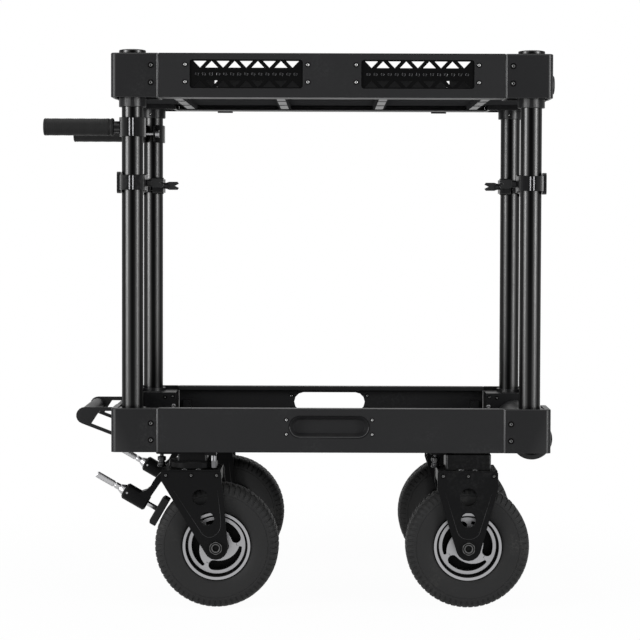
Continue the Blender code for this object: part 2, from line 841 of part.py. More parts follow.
def top_pan():
    """Floor of planks on four cross bars that rest on the rails' flanges, with a lipped wall at each end."""
    bars = TOP_Z + WALL + FIT
    floor = bars + BAR_HEIGHT
    wide = RAIL_Y - WALL - TRUSS_THICK - 2 * FIT
    end = SHELF_LENGTH / 2 - WALL
    under = [(end - WALL, TOP_Z), (end - WALL, floor)]
    for bar in (1, 0):
        x = (bar + 0.5) * BAR_SPACING
        near, far = x - BAR_WIDTH / 2, x + BAR_WIDTH / 2
        under += [(far, floor), (far, bars), (near, bars), (near, floor)]
    lip = end - END_WALL_LIP
    above = [(end - WALL, floor + WALL), (end - WALL, TOP_EDGE - WALL), (lip, TOP_EDGE - WALL)]
    above += [(lip, TOP_EDGE), (end, TOP_EDGE), (end, TOP_Z)]
    half = above + under
    sheet = half + [(-x, z) for x, z in reversed(half)]
    body = cut(extruded([sheet], -wide, wide, "XZ"), corner_notches(TOP_Z))
    grooves = []
    for y in PLANK_GROOVES:
        across = (y - GROOVE_WIDTH / 2, y + GROOVE_WIDTH / 2)
        grooves.append(block((-RAIL_HALF, RAIL_HALF), across, (floor - GROOVE_DEPTH, floor + GROOVE_DEPTH)))
    return cut(body, apart(*grooves))


# Roller and lift handle


def loading_roller():
    reach = CORNER_Y - FIT
    stub = reach + ROLLER_AXLE_REACH
    half = [
        (0, stub),
        (ROLLER_AXLE_R, stub),
        (ROLLER_AXLE_R, reach),
        (ROLLER_R - ROLLER_CHAMFER, reach),
        (ROLLER_R, reach - ROLLER_CHAMFER),
    ]
    profile = half + [(r, -y) for r, y in reversed(half)]
    return turned(profile, WHEEL_STEPS, (ROLLER_X, 0, ROLLER_Z), "Y")


def lift_outline(inset):
    """Side outline of a lift handle plate, or of its window where the arms are inset."""
    slope = math.radians(LIFT_SLOPE)
    wall = -SHELF_LENGTH / 2 + WALL - FIT
    tangent_x = LIFT_NOSE_X - LIFT_NOSE_R * math.sin(slope)
    tangent_z = LIFT_NOSE_Z - LIFT_NOSE_R * math.cos(slope)
    knee_z = tangent_z - (LIFT_KNEE_X - tangent_x) * math.tan(slope)
    top = LIFT_NOSE_Z + LIFT_NOSE_R
    if not inset:
        nose = arc((LIFT_NOSE_X, LIFT_NOSE_Z), LIFT_NOSE_R, 90, 270 - LIFT_SLOPE, SMALL_STEPS)
        return nose + [(LIFT_KNEE_X, knee_z), (wall, LIFT_FOOT_Z), (wall, top)]
    rise = inset / math.cos(slope)
    near = LIFT_NOSE_X + LIFT_WINDOW_NEAR
    low = tangent_z - (near - tangent_x) * math.tan(slope) + rise
    foot = wall - inset - LIFT_FOOT_THICK
    foot_low = knee_z - (foot - LIFT_KNEE_X) * math.tan(slope) + rise
    upper = LIFT_NOSE_X + LIFT_WINDOW_LEAN
    return [(near, low), (foot, foot_low), (foot, top - LIFT_WINDOW_TOP), (upper, top - LIFT_WINDOW_TOP)]


def lift_handle():
    """Two pierced side plates with feet on the end wall, and a round bar between their noses."""
    wall = -SHELF_LENGTH / 2 + WALL - FIT
    top = LIFT_NOSE_Z + LIFT_NOSE_R
    inner = LIFT_HALF - LIFT_PLATE / 2
    start, end = ((LIFT_NOSE_X, y, LIFT_NOSE_Z) for y in (-LIFT_HALF, LIFT_HALF))
    body = rod(start, end, LIFT_BAR_R)
    outlines = [lift_outline(0.0), lift_outline(LIFT_ARM)]
    for side in (-1, 1):
        plate = extruded(outlines, *ends(side, inner, inner + LIFT_PLATE), "XZ")
        depth = ends(side, inner - LIFT_FOOT, inner + WALL)
        foot = block((wall - LIFT_FOOT_THICK, wall), depth, (LIFT_FOOT_Z, top))
        body = fused(body, plate, foot)
    return body


# Posts, collars and push handles


def post(sx, sy):
    """Tube open at its foot, with a round cap on top."""
    chamfer = CORNER_PROUD
    inner = POST_R - POST_WALL
    seat = TOP_EDGE + FIT
    top = seat + CAP_HEIGHT
    profile = [
        (0, top),
        (CAP_R - chamfer, top),
        (CAP_R, top - chamfer),
        (CAP_R, seat),
        (POST_R, seat),
        (POST_R, POST_LOW),
        (inner, POST_LOW),
        (inner, seat),
        (0, seat),
    ]
    return turned(profile, POST_STEPS, (sx * POST_X, sy * POST_Y, 0))


def clamp_ring(sx, sy, half, z, height):
    """Rounded square round a post, its outer Y face cut back about the hinge with two upright fins.

    The caller bores it, so that all of its parts are bored at once."""
    x, y = sx * POST_X, sy * POST_Y
    low, high = z - height / 2, z + height / 2
    outline = rounded((x - half, x + half), (y - half, y + half), COLLAR_ROUND)
    body = extruded([outline], low, high)
    face = y + sy * half
    hinge = block(
        (x - HINGE_GAP / 2, x + HINGE_GAP / 2),
        (face - sy * HINGE_DEPTH, face + sy * HINGE_DEPTH),
        (low - FIT, high + FIT),
    )
    body = cut(body, hinge)
    for side in (-1, 1):
        spot = x + side * FIN_SPREAD
        across = (spot - FIN_THICK / 2, spot + FIN_THICK / 2)
        depth = (face - sy * (HINGE_DEPTH + FIN_THICK / 2), face - sy * HINGE_DEPTH + sy * FIN_REACH)
        body = fused(body, block(across, depth, (low + FIT, high - FIT)))
    return body


def collar(sx, sy):
    """C clamp on a post: hinge fins outside, a plate at the end side, and ears for its screw inside."""
    x, y = sx * POST_X, sy * POST_Y
    body = clamp_ring(sx, sy, COLLAR_HALF, COLLAR_Z, COLLAR_HEIGHT)
    wide, tall = COLLAR_PLATE_WIDTH / 2, COLLAR_PLATE / 2
    outline = rounded((y - wide, y + wide), (COLLAR_Z - tall, COLLAR_Z + tall), EAR_ROUND)
    inside = POST_R + COLLAR_PLATE_THICK / 2
    near, far = ends(sx, POST_X + inside, POST_X + COLLAR_HALF + COLLAR_PLATE_THICK)
    plate = extruded([outline], near, far, "YZ")
    ear_y = ends(sy, POST_Y - EAR_REACH, POST_Y - POST_R)
    ear_z = (COLLAR_Z - EAR_HEIGHT / 2, COLLAR_Z + EAR_HEIGHT / 2)
    inner_side = ends(sx, POST_X - COLLAR_HALF, POST_X)
    inner_ear = extruded([rounded(ear_y, ear_z, EAR_ROUND)], *inner_side, "YZ")
    low = COLLAR_Z - COLLAR_HEIGHT / 2 + FIT
    outer_side = ends(sx, POST_X - WALL, POST_X + EAR_OUTER)
    outer_ear = extruded([rounded(ear_y, (low, 2 * COLLAR_Z - low), EAR_ROUND)], *outer_side, "YZ")
    body = fused(body, plate, inner_ear, outer_ear)
    slot = block(
        (x - COLLAR_SLOT / 2, x + COLLAR_SLOT / 2),
        ends(sy, POST_Y - EAR_REACH - WALL, POST_Y - POST_R / 2),
        (COLLAR_Z - COLLAR_PLATE, COLLAR_Z + COLLAR_PLATE),
    )
    tall = COLLAR_PLATE
    bore = rod((x, y, COLLAR_Z - tall), (x, y, COLLAR_Z + tall), BORE_R, steps=POST_STEPS)
    screw_y = sy * (POST_Y - CLAMP_SCREW_Y)
    reach = COLLAR_HALF + WALL
    start, end = ((x + side * reach, screw_y, COLLAR_Z) for side in (-1, 1))
    screw = rod(start, end, WING_SHAFT_R + FIT, steps=SMALL_STEPS)
    return cut(body, bore, slot, screw)


def collar_screw(sx, sy):
    """Wing screw through a collar's ears, with its wings toward the middle of the shelf."""
    y = sy * (POST_Y - CLAMP_SCREW_Y)

    def spot(offset):
        return (sx * (POST_X + offset), y, COLLAR_Z)

    head = EAR_OUTER + FIT
    hub = COLLAR_HALF + FIT
    body = rod(spot(head + WALL), spot(-hub - WALL), WING_SHAFT_R, steps=SMALL_STEPS)
    nut = rod(spot(head), spot(head + 2 * WALL), WING_HUB_R, steps=ARC_STEPS)
    hub_body = rod(spot(-hub), spot(-hub - 3 * WALL), WING_HUB_R)
    near = hub + 2 * WALL
    wing = [
        (near, -WING_HUB_R),
        (near + 2 * WALL, -WING_HALF),
        (WING_TIP - WALL, -WING_HALF),
        (WING_TIP, -WING_HALF / 2),
        (WING_TIP - 3 * WALL, 0),
        (WING_TIP, WING_HALF / 2),
        (WING_TIP - WALL, WING_HALF),
        (near + 2 * WALL, WING_HALF),
        (near, WING_HUB_R),
    ]
    outline = [(sx * (POST_X - x), COLLAR_Z + z) for x, z in wing]
    blade = extruded([outline], y - WING_THICK / 2, y + WING_THICK / 2, "XZ")
    return fused(body, nut, hub_body, blade)


def push_clamp(sy):
    """Clamp on a left post, with the core that its grip is pushed on."""
    x, y, z = -POST_X, sy * POST_Y, PUSH_Z[sy]
    body = clamp_ring(-1, sy, PUSH_HALF, z, PUSH_HEIGHT)
    low, high = z - PUSH_HEIGHT / 2 + FIT, z + PUSH_HEIGHT / 2 - FIT
    ear_y = ends(sy, POST_Y - PUSH_EAR_REACH, POST_Y - POST_R / 2)
    out = PUSH_SLOT_OUT + PUSH_EAR_OUT
    inward = PUSH_SLOT_IN + PUSH_EAR_IN
    ears = extruded([rounded(ear_y, (low, high), EAR_ROUND)], x - out, x + inward, "YZ")
    neck = rod((x - POST_R, y, z), (x - GRIP_NEAR + FIT, y, z), PUSH_NECK_R)
    core_end = GRIP_FAR - GRIP_END_WALL - FIT
    core = rod((x - POST_R, y, z), (x - core_end, y, z), PUSH_CORE_R)
    body = fused(body, ears, neck, core)
    slot = block(
        (x - PUSH_SLOT_OUT, x + PUSH_SLOT_IN),
        ends(sy, POST_Y - PUSH_EAR_REACH - WALL, POST_Y - POST_R / 2),
        (low - WALL, high + WALL),
    )
    bore = rod((x, y, low - WALL), (x, y, high + WALL), BORE_R, steps=POST_STEPS)
    bolt_y = sy * (POST_Y - PUSH_BOLT_Y)
    reach = out + WALL
    bolt = rod((x - reach, bolt_y, z), (x + reach, bolt_y, z), PUSH_BOLT_R + FIT)
    return cut(body, bore, slot, bolt)


def push_grip(sy):
    """Rubber sleeve with a closed, rounded end and a collar by the clamp."""
    bore = PUSH_CORE_R + FIT
    chamfer = WALL
    profile = [
        (0, GRIP_FAR),
        (GRIP_R - 2 * chamfer, GRIP_FAR),
        (GRIP_R - chamfer / 2, GRIP_FAR - chamfer / 2),
        (GRIP_R, GRIP_FAR - 2 * chamfer),
        (GRIP_R - chamfer / 2, GRIP_FAR - 3 * chamfer),
        (GRIP_R - chamfer / 2, GRIP_NEAR + 3 * chamfer),
        (GRIP_R, GRIP_NEAR + 2 * chamfer),
        (GRIP_R, GRIP_NEAR + chamfer / 2),
        (GRIP_R - chamfer / 2, GRIP_NEAR),
        (bore, GRIP_NEAR),
        (bore, GRIP_FAR - GRIP_END_WALL),
        (0, GRIP_FAR - GRIP_END_WALL),
    ]
    centre = (-POST_X, sy * POST_Y, PUSH_Z[sy])
    return turned([(r, -h) for r, h in profile], ROUND_STEPS, centre, "X")


def push_bolt(sy):
    """Bolt through the clamp's ears, with the barrel nut that draws them together."""
    y = sy * (POST_Y - PUSH_BOLT_Y)

    def spot(offset):
        return (-POST_X + offset, y, PUSH_Z[sy])

    nut = PUSH_SLOT_IN + PUSH_EAR_IN + FIT
    head = -PUSH_SLOT_OUT - PUSH_EAR_OUT - FIT
    body = rod(spot(head - PUSH_BOLT_HEAD / 2), spot(nut + PUSH_NUT_LENGTH / 2), PUSH_BOLT_R)
    barrel = rod(spot(nut), spot(nut + PUSH_NUT_LENGTH), PUSH_NUT_R)
    cap = rod(spot(head), spot(head - PUSH_BOLT_HEAD), PUSH_BOLT_HEAD_R)
    return fused(body, barrel, cap)


# Wheels


def tyre(x, sy):
    """Solid tyre with a rounded shoulder, on the rim's barrel."""
    bead = RIM_R + FIT
    half = [(bead, TYRE_HALF * TYRE_BEAD)]
    half += [(TYRE_R * radius, TYRE_HALF * width) for radius, width in TYRE_SECTION]
    profile = half + [(r, -y) for r, y in reversed(half)]
    centre = (x, sy * CASTER_Y, AXLE_Z)
    return turned(profile, WHEEL_STEPS, centre, "Y", 180 / WHEEL_STEPS, closed=True)


def comma():
    """Outline of a rim window: a band under a constant outer radius that swells from one end to the other."""
    steps = 4
    outer = []
    inner = []
    for i in range(steps + 1):
        share = i / steps
        angle = math.radians(COMMA_START + COMMA_SWEEP * share)
        width = 2 * (COMMA_NARROW + (COMMA_FAT - COMMA_NARROW) * share)
        outer.append((WINDOW_OUTER * math.cos(angle), WINDOW_OUTER * math.sin(angle)))
        low = WINDOW_OUTER - width
        inner.append((low * math.cos(angle), low * math.sin(angle)))
    fat = math.radians(COMMA_START + COMMA_SWEEP)
    middle = WINDOW_OUTER - COMMA_FAT
    centre = (middle * math.cos(fat), middle * math.sin(fat))
    start = math.degrees(fat)
    round_end = arc(centre, COMMA_FAT, start, start - 180, 3)[1:-1]
    return outer + round_end + inner[::-1]


def rim(x, sy, turn):
    """Wheel centre: hub, web with three comma windows, the barrel, and a raised ring on the outer side."""
    centre = (x, sy * CASTER_Y, AXLE_Z)
    hub = FORK_HALF - FORK_PLATE - FIT
    barrel = RIM_R - RIM_LIP
    outside = [
        (AXLE_R + FIT, hub),
        (HUB_R, hub),
        (HUB_R, WEB_HALF),
        (RIM_RING_INNER, WEB_HALF),
        (RIM_RING_INNER, RIM_RING_HALF),
        (RIM_RING_OUTER, RIM_RING_HALF),
        (barrel, WEB_HALF),
        (barrel, RIM_HALF),
        (RIM_R, RIM_HALF),
    ]
    inside = [
        (RIM_R, RIM_HALF),
        (barrel, RIM_HALF),
        (barrel, WEB_HALF),
        (HUB_R, WEB_HALF),
        (HUB_R, hub),
        (AXLE_R + FIT, hub),
    ]
    profile = [(r, sy * y) for r, y in outside] + [(r, -sy * y) for r, y in inside]
    body = turned(profile, WHEEL_STEPS, centre, "Y", 180 / WHEEL_STEPS, closed=True)
    windows = []
    for i in range(3):
        angle = math.radians(turn + 120 * i)
        outline = []
        for a, b in comma():
            across = a * math.cos(angle) - b * math.sin(angle)
            up = a * math.sin(angle) + b * math.cos(angle)
            outline.append((centre[0] + across, centre[2] + up))
        depth = (centre[1] - 2 * WEB_HALF, centre[1] + 2 * WEB_HALF)
        windows.append(extruded([outline], *depth, "XZ"))
    return cut(body, apart(*windows))


# Casters


def fork(x, sy, axle_x, shape, brake):
    """Two pierced plates hung from a block, with the axle, the kingpin and any brake bracket.

    The shape gives the top edge's two ends from the caster's centre, how far the sides run straight down,
    the boss radius, and the pierced holes as (x, z, radius)."""
    left, right, straight, boss_r, holes = shape
    middle = sy * CASTER_Y
    inner = FORK_HALF - FORK_PLATE
    crown = (x + left, FORK_TOP), (x + right, FORK_TOP), (x + left, straight), (x + right, straight)
    edge = list(crown) + circle((axle_x, AXLE_Z), boss_r, ROUND_STEPS)
    half = inner + FORK_PLATE / 2
    across = (x + left + FORK_BLOCK_INSET, x + right - FORK_BLOCK_INSET)
    body = block(across, (middle - half, middle + half), (FORK_BLOCK_LOW, FORK_BLOCK_TOP))
    start, end = ((axle_x, middle + side * half, AXLE_Z) for side in (-1, 1))
    axle = rod(start, end, AXLE_R)
    hole_span = (inner - WALL, FORK_HALF + WALL)
    head_span = (half, FORK_HALF + AXLE_HEAD)
    for side in (-1, 1):
        near, far = ends(side, inner, FORK_HALF)
        plate = hull([(a, middle + depth, z) for depth in (near, far) for a, z in edge])
        holes_cut = []
        for hole_x, hole_z, radius in holes:
            start, end = ((x + hole_x, middle + side * depth, hole_z) for depth in hole_span)
            holes_cut.append(rod(start, end, radius, steps=ROUND_STEPS))
        plate = cut(plate, apart(*holes_cut))
        start, end = ((axle_x, middle + side * depth, AXLE_Z) for depth in head_span)
        body = fused(body, fused(plate, rod(start, end, AXLE_HEAD_R, steps=ARC_STEPS)))
    body = fused(body, axle)
    body = fused(body, rod((x, middle, FORK_BLOCK_TOP - WALL), (x, middle, KINGPIN_TOP), KINGPIN_R))
    if brake:
        body = fused(body, brake_bracket(middle, axle_x))
        line = brake_line(axle_x, middle, BRAKE_BLOCK_NEAR - WALL, BRAKE_KNOB_FAR)
        body = cut(body, rod(*line, BRAKE_ROD_R + FIT))
    return body


def brake_spot(axle_x, y, along, across=0.0):
    """Place on the brake's line, or beside it on the upper side."""
    angle = math.radians(BRAKE_ANGLE)
    dx = -along * math.cos(angle) + across * math.sin(angle)
    dz = along * math.sin(angle) + across * math.cos(angle)
    return Vector((axle_x + dx, y, AXLE_Z + dz))


def brake_line(axle_x, y, near, far):
    return brake_spot(axle_x, y, near), brake_spot(axle_x, y, far)


def brake_bracket(y, axle_x):
    """Block round the brake's rod, and the curved arm that carries it from the fork's upper corner."""
    near, far = BRAKE_BLOCK_NEAR + BRAKE_BLOCK_CHAMFER, BRAKE_BLOCK_FAR - BRAKE_BLOCK_CHAMFER
    small = BRAKE_BLOCK_R - BRAKE_BLOCK_CHAMFER
    rings = (BRAKE_BLOCK_NEAR, small), (near, BRAKE_BLOCK_R), (far, BRAKE_BLOCK_R), (BRAKE_BLOCK_FAR, small)
    points = []
    for along, radius in rings:
        for across, depth in circle((0, y), radius, ROUND_STEPS):
            points.append(brake_spot(axle_x, depth, along, across))
    body = hull(points)
    neck = brake_line(axle_x, y, BRAKE_BLOCK_FAR - FIT, BRAKE_BLOCK_FAR + BRAKE_NECK)
    body = fused(body, rod(*neck, BRAKE_NECK_R, BRAKE_KNOB_R, steps=ROUND_STEPS))
    outline = [(axle_x + a, AXLE_Z + b) for a, b in BRAKE_ARM]
    arm = extruded([outline], y - BRAKE_ARM_HALF, y + BRAKE_ARM_HALF, "XZ")
    return fused(body, arm)


def brake_pad(sy):
    """Flat shoe ahead of the tread, with a socket for the screw's end."""
    x, y = SWIVEL_X + TRAIL, sy * CASTER_Y
    half, wide = BRAKE_PAD_LENGTH / 2, BRAKE_PAD_WIDTH / 2
    far = BRAKE_PAD_NEAR + BRAKE_PAD_THICK
    chamfer = WALL
    section = [
        (BRAKE_PAD_NEAR, -half),
        (BRAKE_PAD_NEAR, half),
        (far - chamfer, half),
        (far, half - 2 * chamfer),
        (far, 2 * chamfer - half),
        (far - chamfer, -half),
    ]
    corners = [brake_spot(x, y, along, across) for along, across in section]
    body = extruded([[(c.x, c.z) for c in corners]], y - wide, y + wide, "XZ")
    socket = rod(*brake_line(x, y, far - BRAKE_SOCKET, far + WALL), BRAKE_ROD_R + FIT)
    return cut(body, socket)


def brake_screw(sy):
    """Rod through the block, and the knurled knob that turns it."""
    x, y = SWIVEL_X + TRAIL, sy * CASTER_Y
    near = BRAKE_PAD_NEAR + BRAKE_PAD_THICK - BRAKE_SOCKET + FIT
    knob = BRAKE_BLOCK_FAR + BRAKE_NECK + FIT
    body = rod(*brake_line(x, y, near, knob + WALL), BRAKE_ROD_R)
    grip = rod(*brake_line(x, y, knob, BRAKE_KNOB_FAR - WALL / 2), BRAKE_KNOB_R)
    end = brake_line(x, y, BRAKE_KNOB_FAR - WALL, BRAKE_KNOB_FAR)
    return fused(body, grip, rod(*end, BRAKE_KNOB_R - FIT, BRAKE_KNOB_R - WALL / 2))


def caster_head(x, sy, pinned):
    """Housing under a mounting block, with a lug for the plunger; the left ones have a chrome pin.

    A swivelling caster has a round bearing housing and a fixed one has a square housing."""
    y = sy * CASTER_Y
    top = BOTTOM_Z - FIT
    ring_top = HEAD_LOW + HEAD_RING
    ring = [
        (0, ring_top),
        (HEAD_RING_R - HEAD_CHAMFER, ring_top),
        (HEAD_RING_R, ring_top - HEAD_CHAMFER),
        (HEAD_RING_R, HEAD_LOW + HEAD_CHAMFER),
        (HEAD_RING_R - HEAD_CHAMFER, HEAD_LOW),
        (0, HEAD_LOW),
    ]
    half, deep = HEAD_BLOCK / 2, HEAD_BLOCK_DEPTH / 2
    if pinned:
        body = turned(ring, POST_STEPS, (x, y, 0))
    else:
        side = HEAD_BOX / 2
        square = rounded((x - side, x + side), (y - side, y + side), HEAD_BOX_ROUND)
        body = extruded([square], HEAD_LOW, HEAD_BOX_TOP)
    body = fused(body, block((x - half, x + half), (y - deep, y + deep), (ring_top - FIT, top)))
    lug_low = PLUNGER_KNOB_LOW + PLUNGER_KNOB + PLUNGER_TRAVEL + FIT
    spot = x + PLUNGER_X
    lug_end = arc((spot, y), PLUNGER_LUG_R, 90, 270, 4)
    lug = lug_end + [(x - half + WALL, y - PLUNGER_LUG_R), (x - half + WALL, y + PLUNGER_LUG_R)]
    body = fused(body, extruded([lug], lug_low, top - FIT))
    if pinned:
        out = sy * PIN_Y
        across = (x + half - WALL, x + PIN_X + PIN_R + FIT)
        depth = ends(sy, CASTER_Y + deep - 2 * PIN_LUG, CASTER_Y + PIN_Y + PIN_R + FIT)
        body = fused(body, block(across, depth, (top - PIN_LUG, top - FIT)))
        pin = (x + PIN_X, y + out, PIN_LOW), (x + PIN_X, y + out, top - PIN_LUG / 2)
        body = fused(body, rod(*pin, PIN_R))
    kingpin = rod((x, y, HEAD_LOW - WALL), (x, y, KINGPIN_TOP + FIT), KINGPIN_R + FIT)
    shaft = rod((spot, y, lug_low - WALL), (spot, y, top + WALL), PLUNGER_SHAFT_R + FIT)
    return cut(body, kingpin, shaft)


def plunger(x, sy):
    """Grooved knob whose shaft slides up in the head's lug."""
    low = PLUNGER_KNOB_LOW
    high = low + PLUNGER_KNOB
    step = WALL / 2
    waist = PLUNGER_KNOB_R - step
    shaft_top = high + PLUNGER_TRAVEL + FIT + step
    profile = [
        (0, shaft_top),
        (PLUNGER_SHAFT_R, shaft_top),
        (PLUNGER_SHAFT_R, high),
        (waist, high),
        (PLUNGER_KNOB_R, high - step),
        (PLUNGER_KNOB_R, high - 4 * step),
        (waist, high - 5 * step),
        (waist, low + 2 * step),
        (PLUNGER_KNOB_R, low + step),
        (PLUNGER_KNOB_R, low),
        (0, low),
    ]
    return turned(profile, ROD_STEPS, (x + PLUNGER_X, sy * CASTER_Y, 0))


# Side view of the curved arm from the brake's block to the fork, from the axle
BRAKE_ARM = (
    (-0.1500, 0.0750),
    (-0.1420, 0.0846),
    (-0.1140, 0.1255),
    (-0.1070, 0.1345),
    (-0.1040, 0.1490),
    (-0.1100, 0.1475),
    (-0.1169, 0.1428),
    (-0.1223, 0.1374),
    (-0.1295, 0.1270),
    (-0.1350, 0.1165),
    (-0.1435, 0.1095),
    (-0.1520, 0.1070),
    (-0.1600, 0.1000),
)

# Shape of each kind of fork, from its caster's centre
SWIVEL_FORK = (-0.0615, 0.0586, 0.260, 0.024, ((0.017, 0.226, 0.016), (0.0314, 0.183, 0.0137)))
FIXED_FORK = (-0.0626, 0.0585, 0.244, 0.025, ((-0.0005, 0.228, 0.018), (-0.0005, 0.182, 0.015)))


def build_shelves():
    piece("bottom_front_rail", "bottom rail", STEEL_BLACK, bottom_front_rail())
    piece("bottom_back_rail", "bottom rail", STEEL_BLACK, bottom_back_rail())
    piece("bottom_pan", "bottom pan", STEEL_BLACK, bottom_pan())
    piece("top_front_rail", "top rail", STEEL_BLACK, top_front_rail())
    piece("top_back_rail", "top rail", STEEL_BLACK, top_back_rail())
    piece("top_back_gate", "back gate", STEEL_BLACK, top_back_gate())
    piece("top_pan", "top pan", PLATE_GREY, top_pan())
    piece("top_truss_plate", "truss plate", STEEL_BLACK, top_truss_plate())
    piece("lift_handle", "lift handle", STEEL_BLACK, lift_handle())
    axis = (ROLLER_X, 0, ROLLER_Z)
    piece("loading_roller", "loading roller", PLASTIC_BLACK, loading_roller(), origin=axis)


def build_corner(sx, sy):
    """One corner of the cart from its lower casting up to its collar."""
    place = f"{SIDES[sx]}_{FACES[sy]}"
    piece(f"bottom_corner_{place}", "bottom corner", STEEL_BLACK, bottom_corner(sx, sy))
    piece(f"top_corner_{place}", "top corner", STEEL_BLACK, top_corner(sx, sy))
    piece(f"post_{place}", "post", STEEL_BLACK, post(sx, sy))
    slide = empty(f"collar_slide_{place}", (sx * POST_X, sy * POST_Y, COLLAR_Z))
    piece(f"collar_{place}", "collar", STEEL_BLACK, collar(sx, sy), slide)
    axis = (sx * POST_X, sy * (POST_Y - CLAMP_SCREW_Y), COLLAR_Z)
    piece(f"collar_screw_{place}", "collar screw", PLASTIC_BLACK, collar_screw(sx, sy), slide, axis)


def build_push_handle(sy):
    place = FACES[sy]
    slide = empty(f"push_slide_{place}", (-POST_X, sy * POST_Y, PUSH_Z[sy]))
    piece(f"push_clamp_{place}", "push clamp", STEEL_BLACK, push_clamp(sy), slide)
    piece(f"push_grip_{place}", "push grip", RUBBER, push_grip(sy), slide)
    axis = (-POST_X, sy * (POST_Y - PUSH_BOLT_Y), PUSH_Z[sy])
    piece(f"push_bolt_{place}", "push bolt", STEEL_BRIGHT, push_bolt(sy), slide, axis)


def build_caster(sx, sy):
    """Head, fork, wheel and plunger; the left casters swivel and have a brake."""
    place = f"{SIDES[sx]}_{FACES[sy]}"
    swivels = sx < 0
    x = SWIVEL_X if swivels else FIXED_X
    axle_x = x + TRAIL if swivels else x
    y = sy * CASTER_Y
    piece(f"caster_head_{place}", "caster head", STEEL_BLACK, caster_head(x, sy, swivels))
    axis = (x + PLUNGER_X, y, PLUNGER_KNOB_LOW)
    piece(f"release_plunger_{place}", "release plunger", CHROME, plunger(x, sy), origin=axis)
    swivel = empty(f"swivel_{place}", (x, y, FORK_BLOCK_TOP)) if swivels else CART
    shape = SWIVEL_FORK if swivels else FIXED_FORK
    piece(f"caster_fork_{place}", "caster fork", STEEL_BLACK, fork(x, sy, axle_x, shape, swivels), swivel)
    wheel = empty(f"wheel_{place}", (axle_x, y, AXLE_Z), swivel)
    turn = 0.0 if swivels else FIXED_WHEEL_TURN
    piece(f"tyre_{place}", "tyre", RUBBER, tyre(axle_x, sy), wheel)
    piece(f"rim_{place}", "rim", STEEL_BRIGHT, rim(axle_x, sy, turn), wheel)
    if swivels:
        pad = empty(f"brake_slide_{place}", brake_spot(axle_x, y, BRAKE_PAD_NEAR), swivel)
        piece(f"brake_pad_{place}", "brake pad", RUBBER, brake_pad(sy), pad)
        axis = brake_spot(axle_x, y, BRAKE_BLOCK_FAR)
        piece(f"brake_screw_{place}", "brake screw", STEEL_BRIGHT, brake_screw(sy), pad, axis)


build_shelves()
for end_side in SIDES:
    for face_side in FACES:
        build_corner(end_side, face_side)
        build_caster(end_side, face_side)
for face_side in FACES:
    build_push_handle(face_side)
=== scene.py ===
# %% [markdown]
# A rolling cart workstation for film crews: two black shelves on four round posts, clamp collars,
# two push handles, a loading roller and four large casters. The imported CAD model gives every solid
# its place. This file gives each surface the detail and the finish of the real cart.

# %% The fixed frame
import json
import math

import bmesh
import bpy
import numpy as np
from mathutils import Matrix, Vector

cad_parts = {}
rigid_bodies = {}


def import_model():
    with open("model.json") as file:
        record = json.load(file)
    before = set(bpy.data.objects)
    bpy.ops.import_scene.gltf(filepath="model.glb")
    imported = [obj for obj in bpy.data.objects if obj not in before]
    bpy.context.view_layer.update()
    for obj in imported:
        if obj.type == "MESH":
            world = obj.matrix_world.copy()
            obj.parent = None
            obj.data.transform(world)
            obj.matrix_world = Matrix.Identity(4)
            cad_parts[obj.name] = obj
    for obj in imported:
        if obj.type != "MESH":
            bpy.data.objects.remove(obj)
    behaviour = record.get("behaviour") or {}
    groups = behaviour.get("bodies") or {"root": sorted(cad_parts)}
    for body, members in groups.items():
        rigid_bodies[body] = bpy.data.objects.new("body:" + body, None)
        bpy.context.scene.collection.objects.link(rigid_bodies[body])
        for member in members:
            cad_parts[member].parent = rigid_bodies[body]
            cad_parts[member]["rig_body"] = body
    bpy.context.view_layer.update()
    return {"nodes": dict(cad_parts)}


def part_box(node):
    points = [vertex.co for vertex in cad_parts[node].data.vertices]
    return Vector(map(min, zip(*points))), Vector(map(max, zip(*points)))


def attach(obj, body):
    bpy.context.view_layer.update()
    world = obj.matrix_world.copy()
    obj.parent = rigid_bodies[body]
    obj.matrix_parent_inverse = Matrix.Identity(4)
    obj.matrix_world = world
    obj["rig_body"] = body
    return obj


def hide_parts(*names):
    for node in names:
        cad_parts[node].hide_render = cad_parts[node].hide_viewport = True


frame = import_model()
NODES = frame["nodes"]
UP, TO_FRONT, TO_BACK = (0, 0, 1), (0, -1, 0), (0, 1, 0)
ENDS = {"left": -1, "right": 1}
FACES = {"front": -1, "back": 1}
PLACES = [(f"{end}_{face}", ENDS[end], FACES[face]) for end in ENDS for face in FACES]
CORNERS = [place for place, end, face in PLACES]
rail_low, rail_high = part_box("bottom_front_rail")
MIDDLE = (rail_low.x + rail_high.x) / 2
POST_X = 0.400
POST_Y = 0.230
CASTER_X = {-1: MIDDLE - 0.278, 1: MIDDLE + 0.276}
CASTER_Y = 0.220
FORK_FACE = 0.054


def box_middle(node):
    """Middle, lowest corner and highest corner of a CAD node's box."""
    low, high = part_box(node)
    return (low + high) / 2, low, high


AXLE_Z = box_middle("tyre_left_front")[0].z
TREAD_R = AXLE_Z - 0.0001


def wheel_centre(place):
    """Middle of a wheel, at the height of the axles."""
    middle = box_middle(f"tyre_{place}")[0]
    return np.array([middle.x, middle.y, AXLE_Z])


def fork_body(place):
    """The body a fork belongs to: the left ones swivel, the right ones are fixed to the cart."""
    return f"swivel_{place}" if place.startswith("left") else "cart"


def at(x, y, z):
    """Place given from the shelves' middle, in metres."""
    return (x + MIDDLE, y, z)


def linked(name, data):
    """New object in the scene that shows the given mesh, lamp or camera."""
    made = bpy.data.objects.new(name, data)
    bpy.context.scene.collection.objects.link(made)
    return made


print("nodes", len(NODES), "shelf middle", round(MIDDLE, 4), "axle height", round(AXLE_Z, 4))

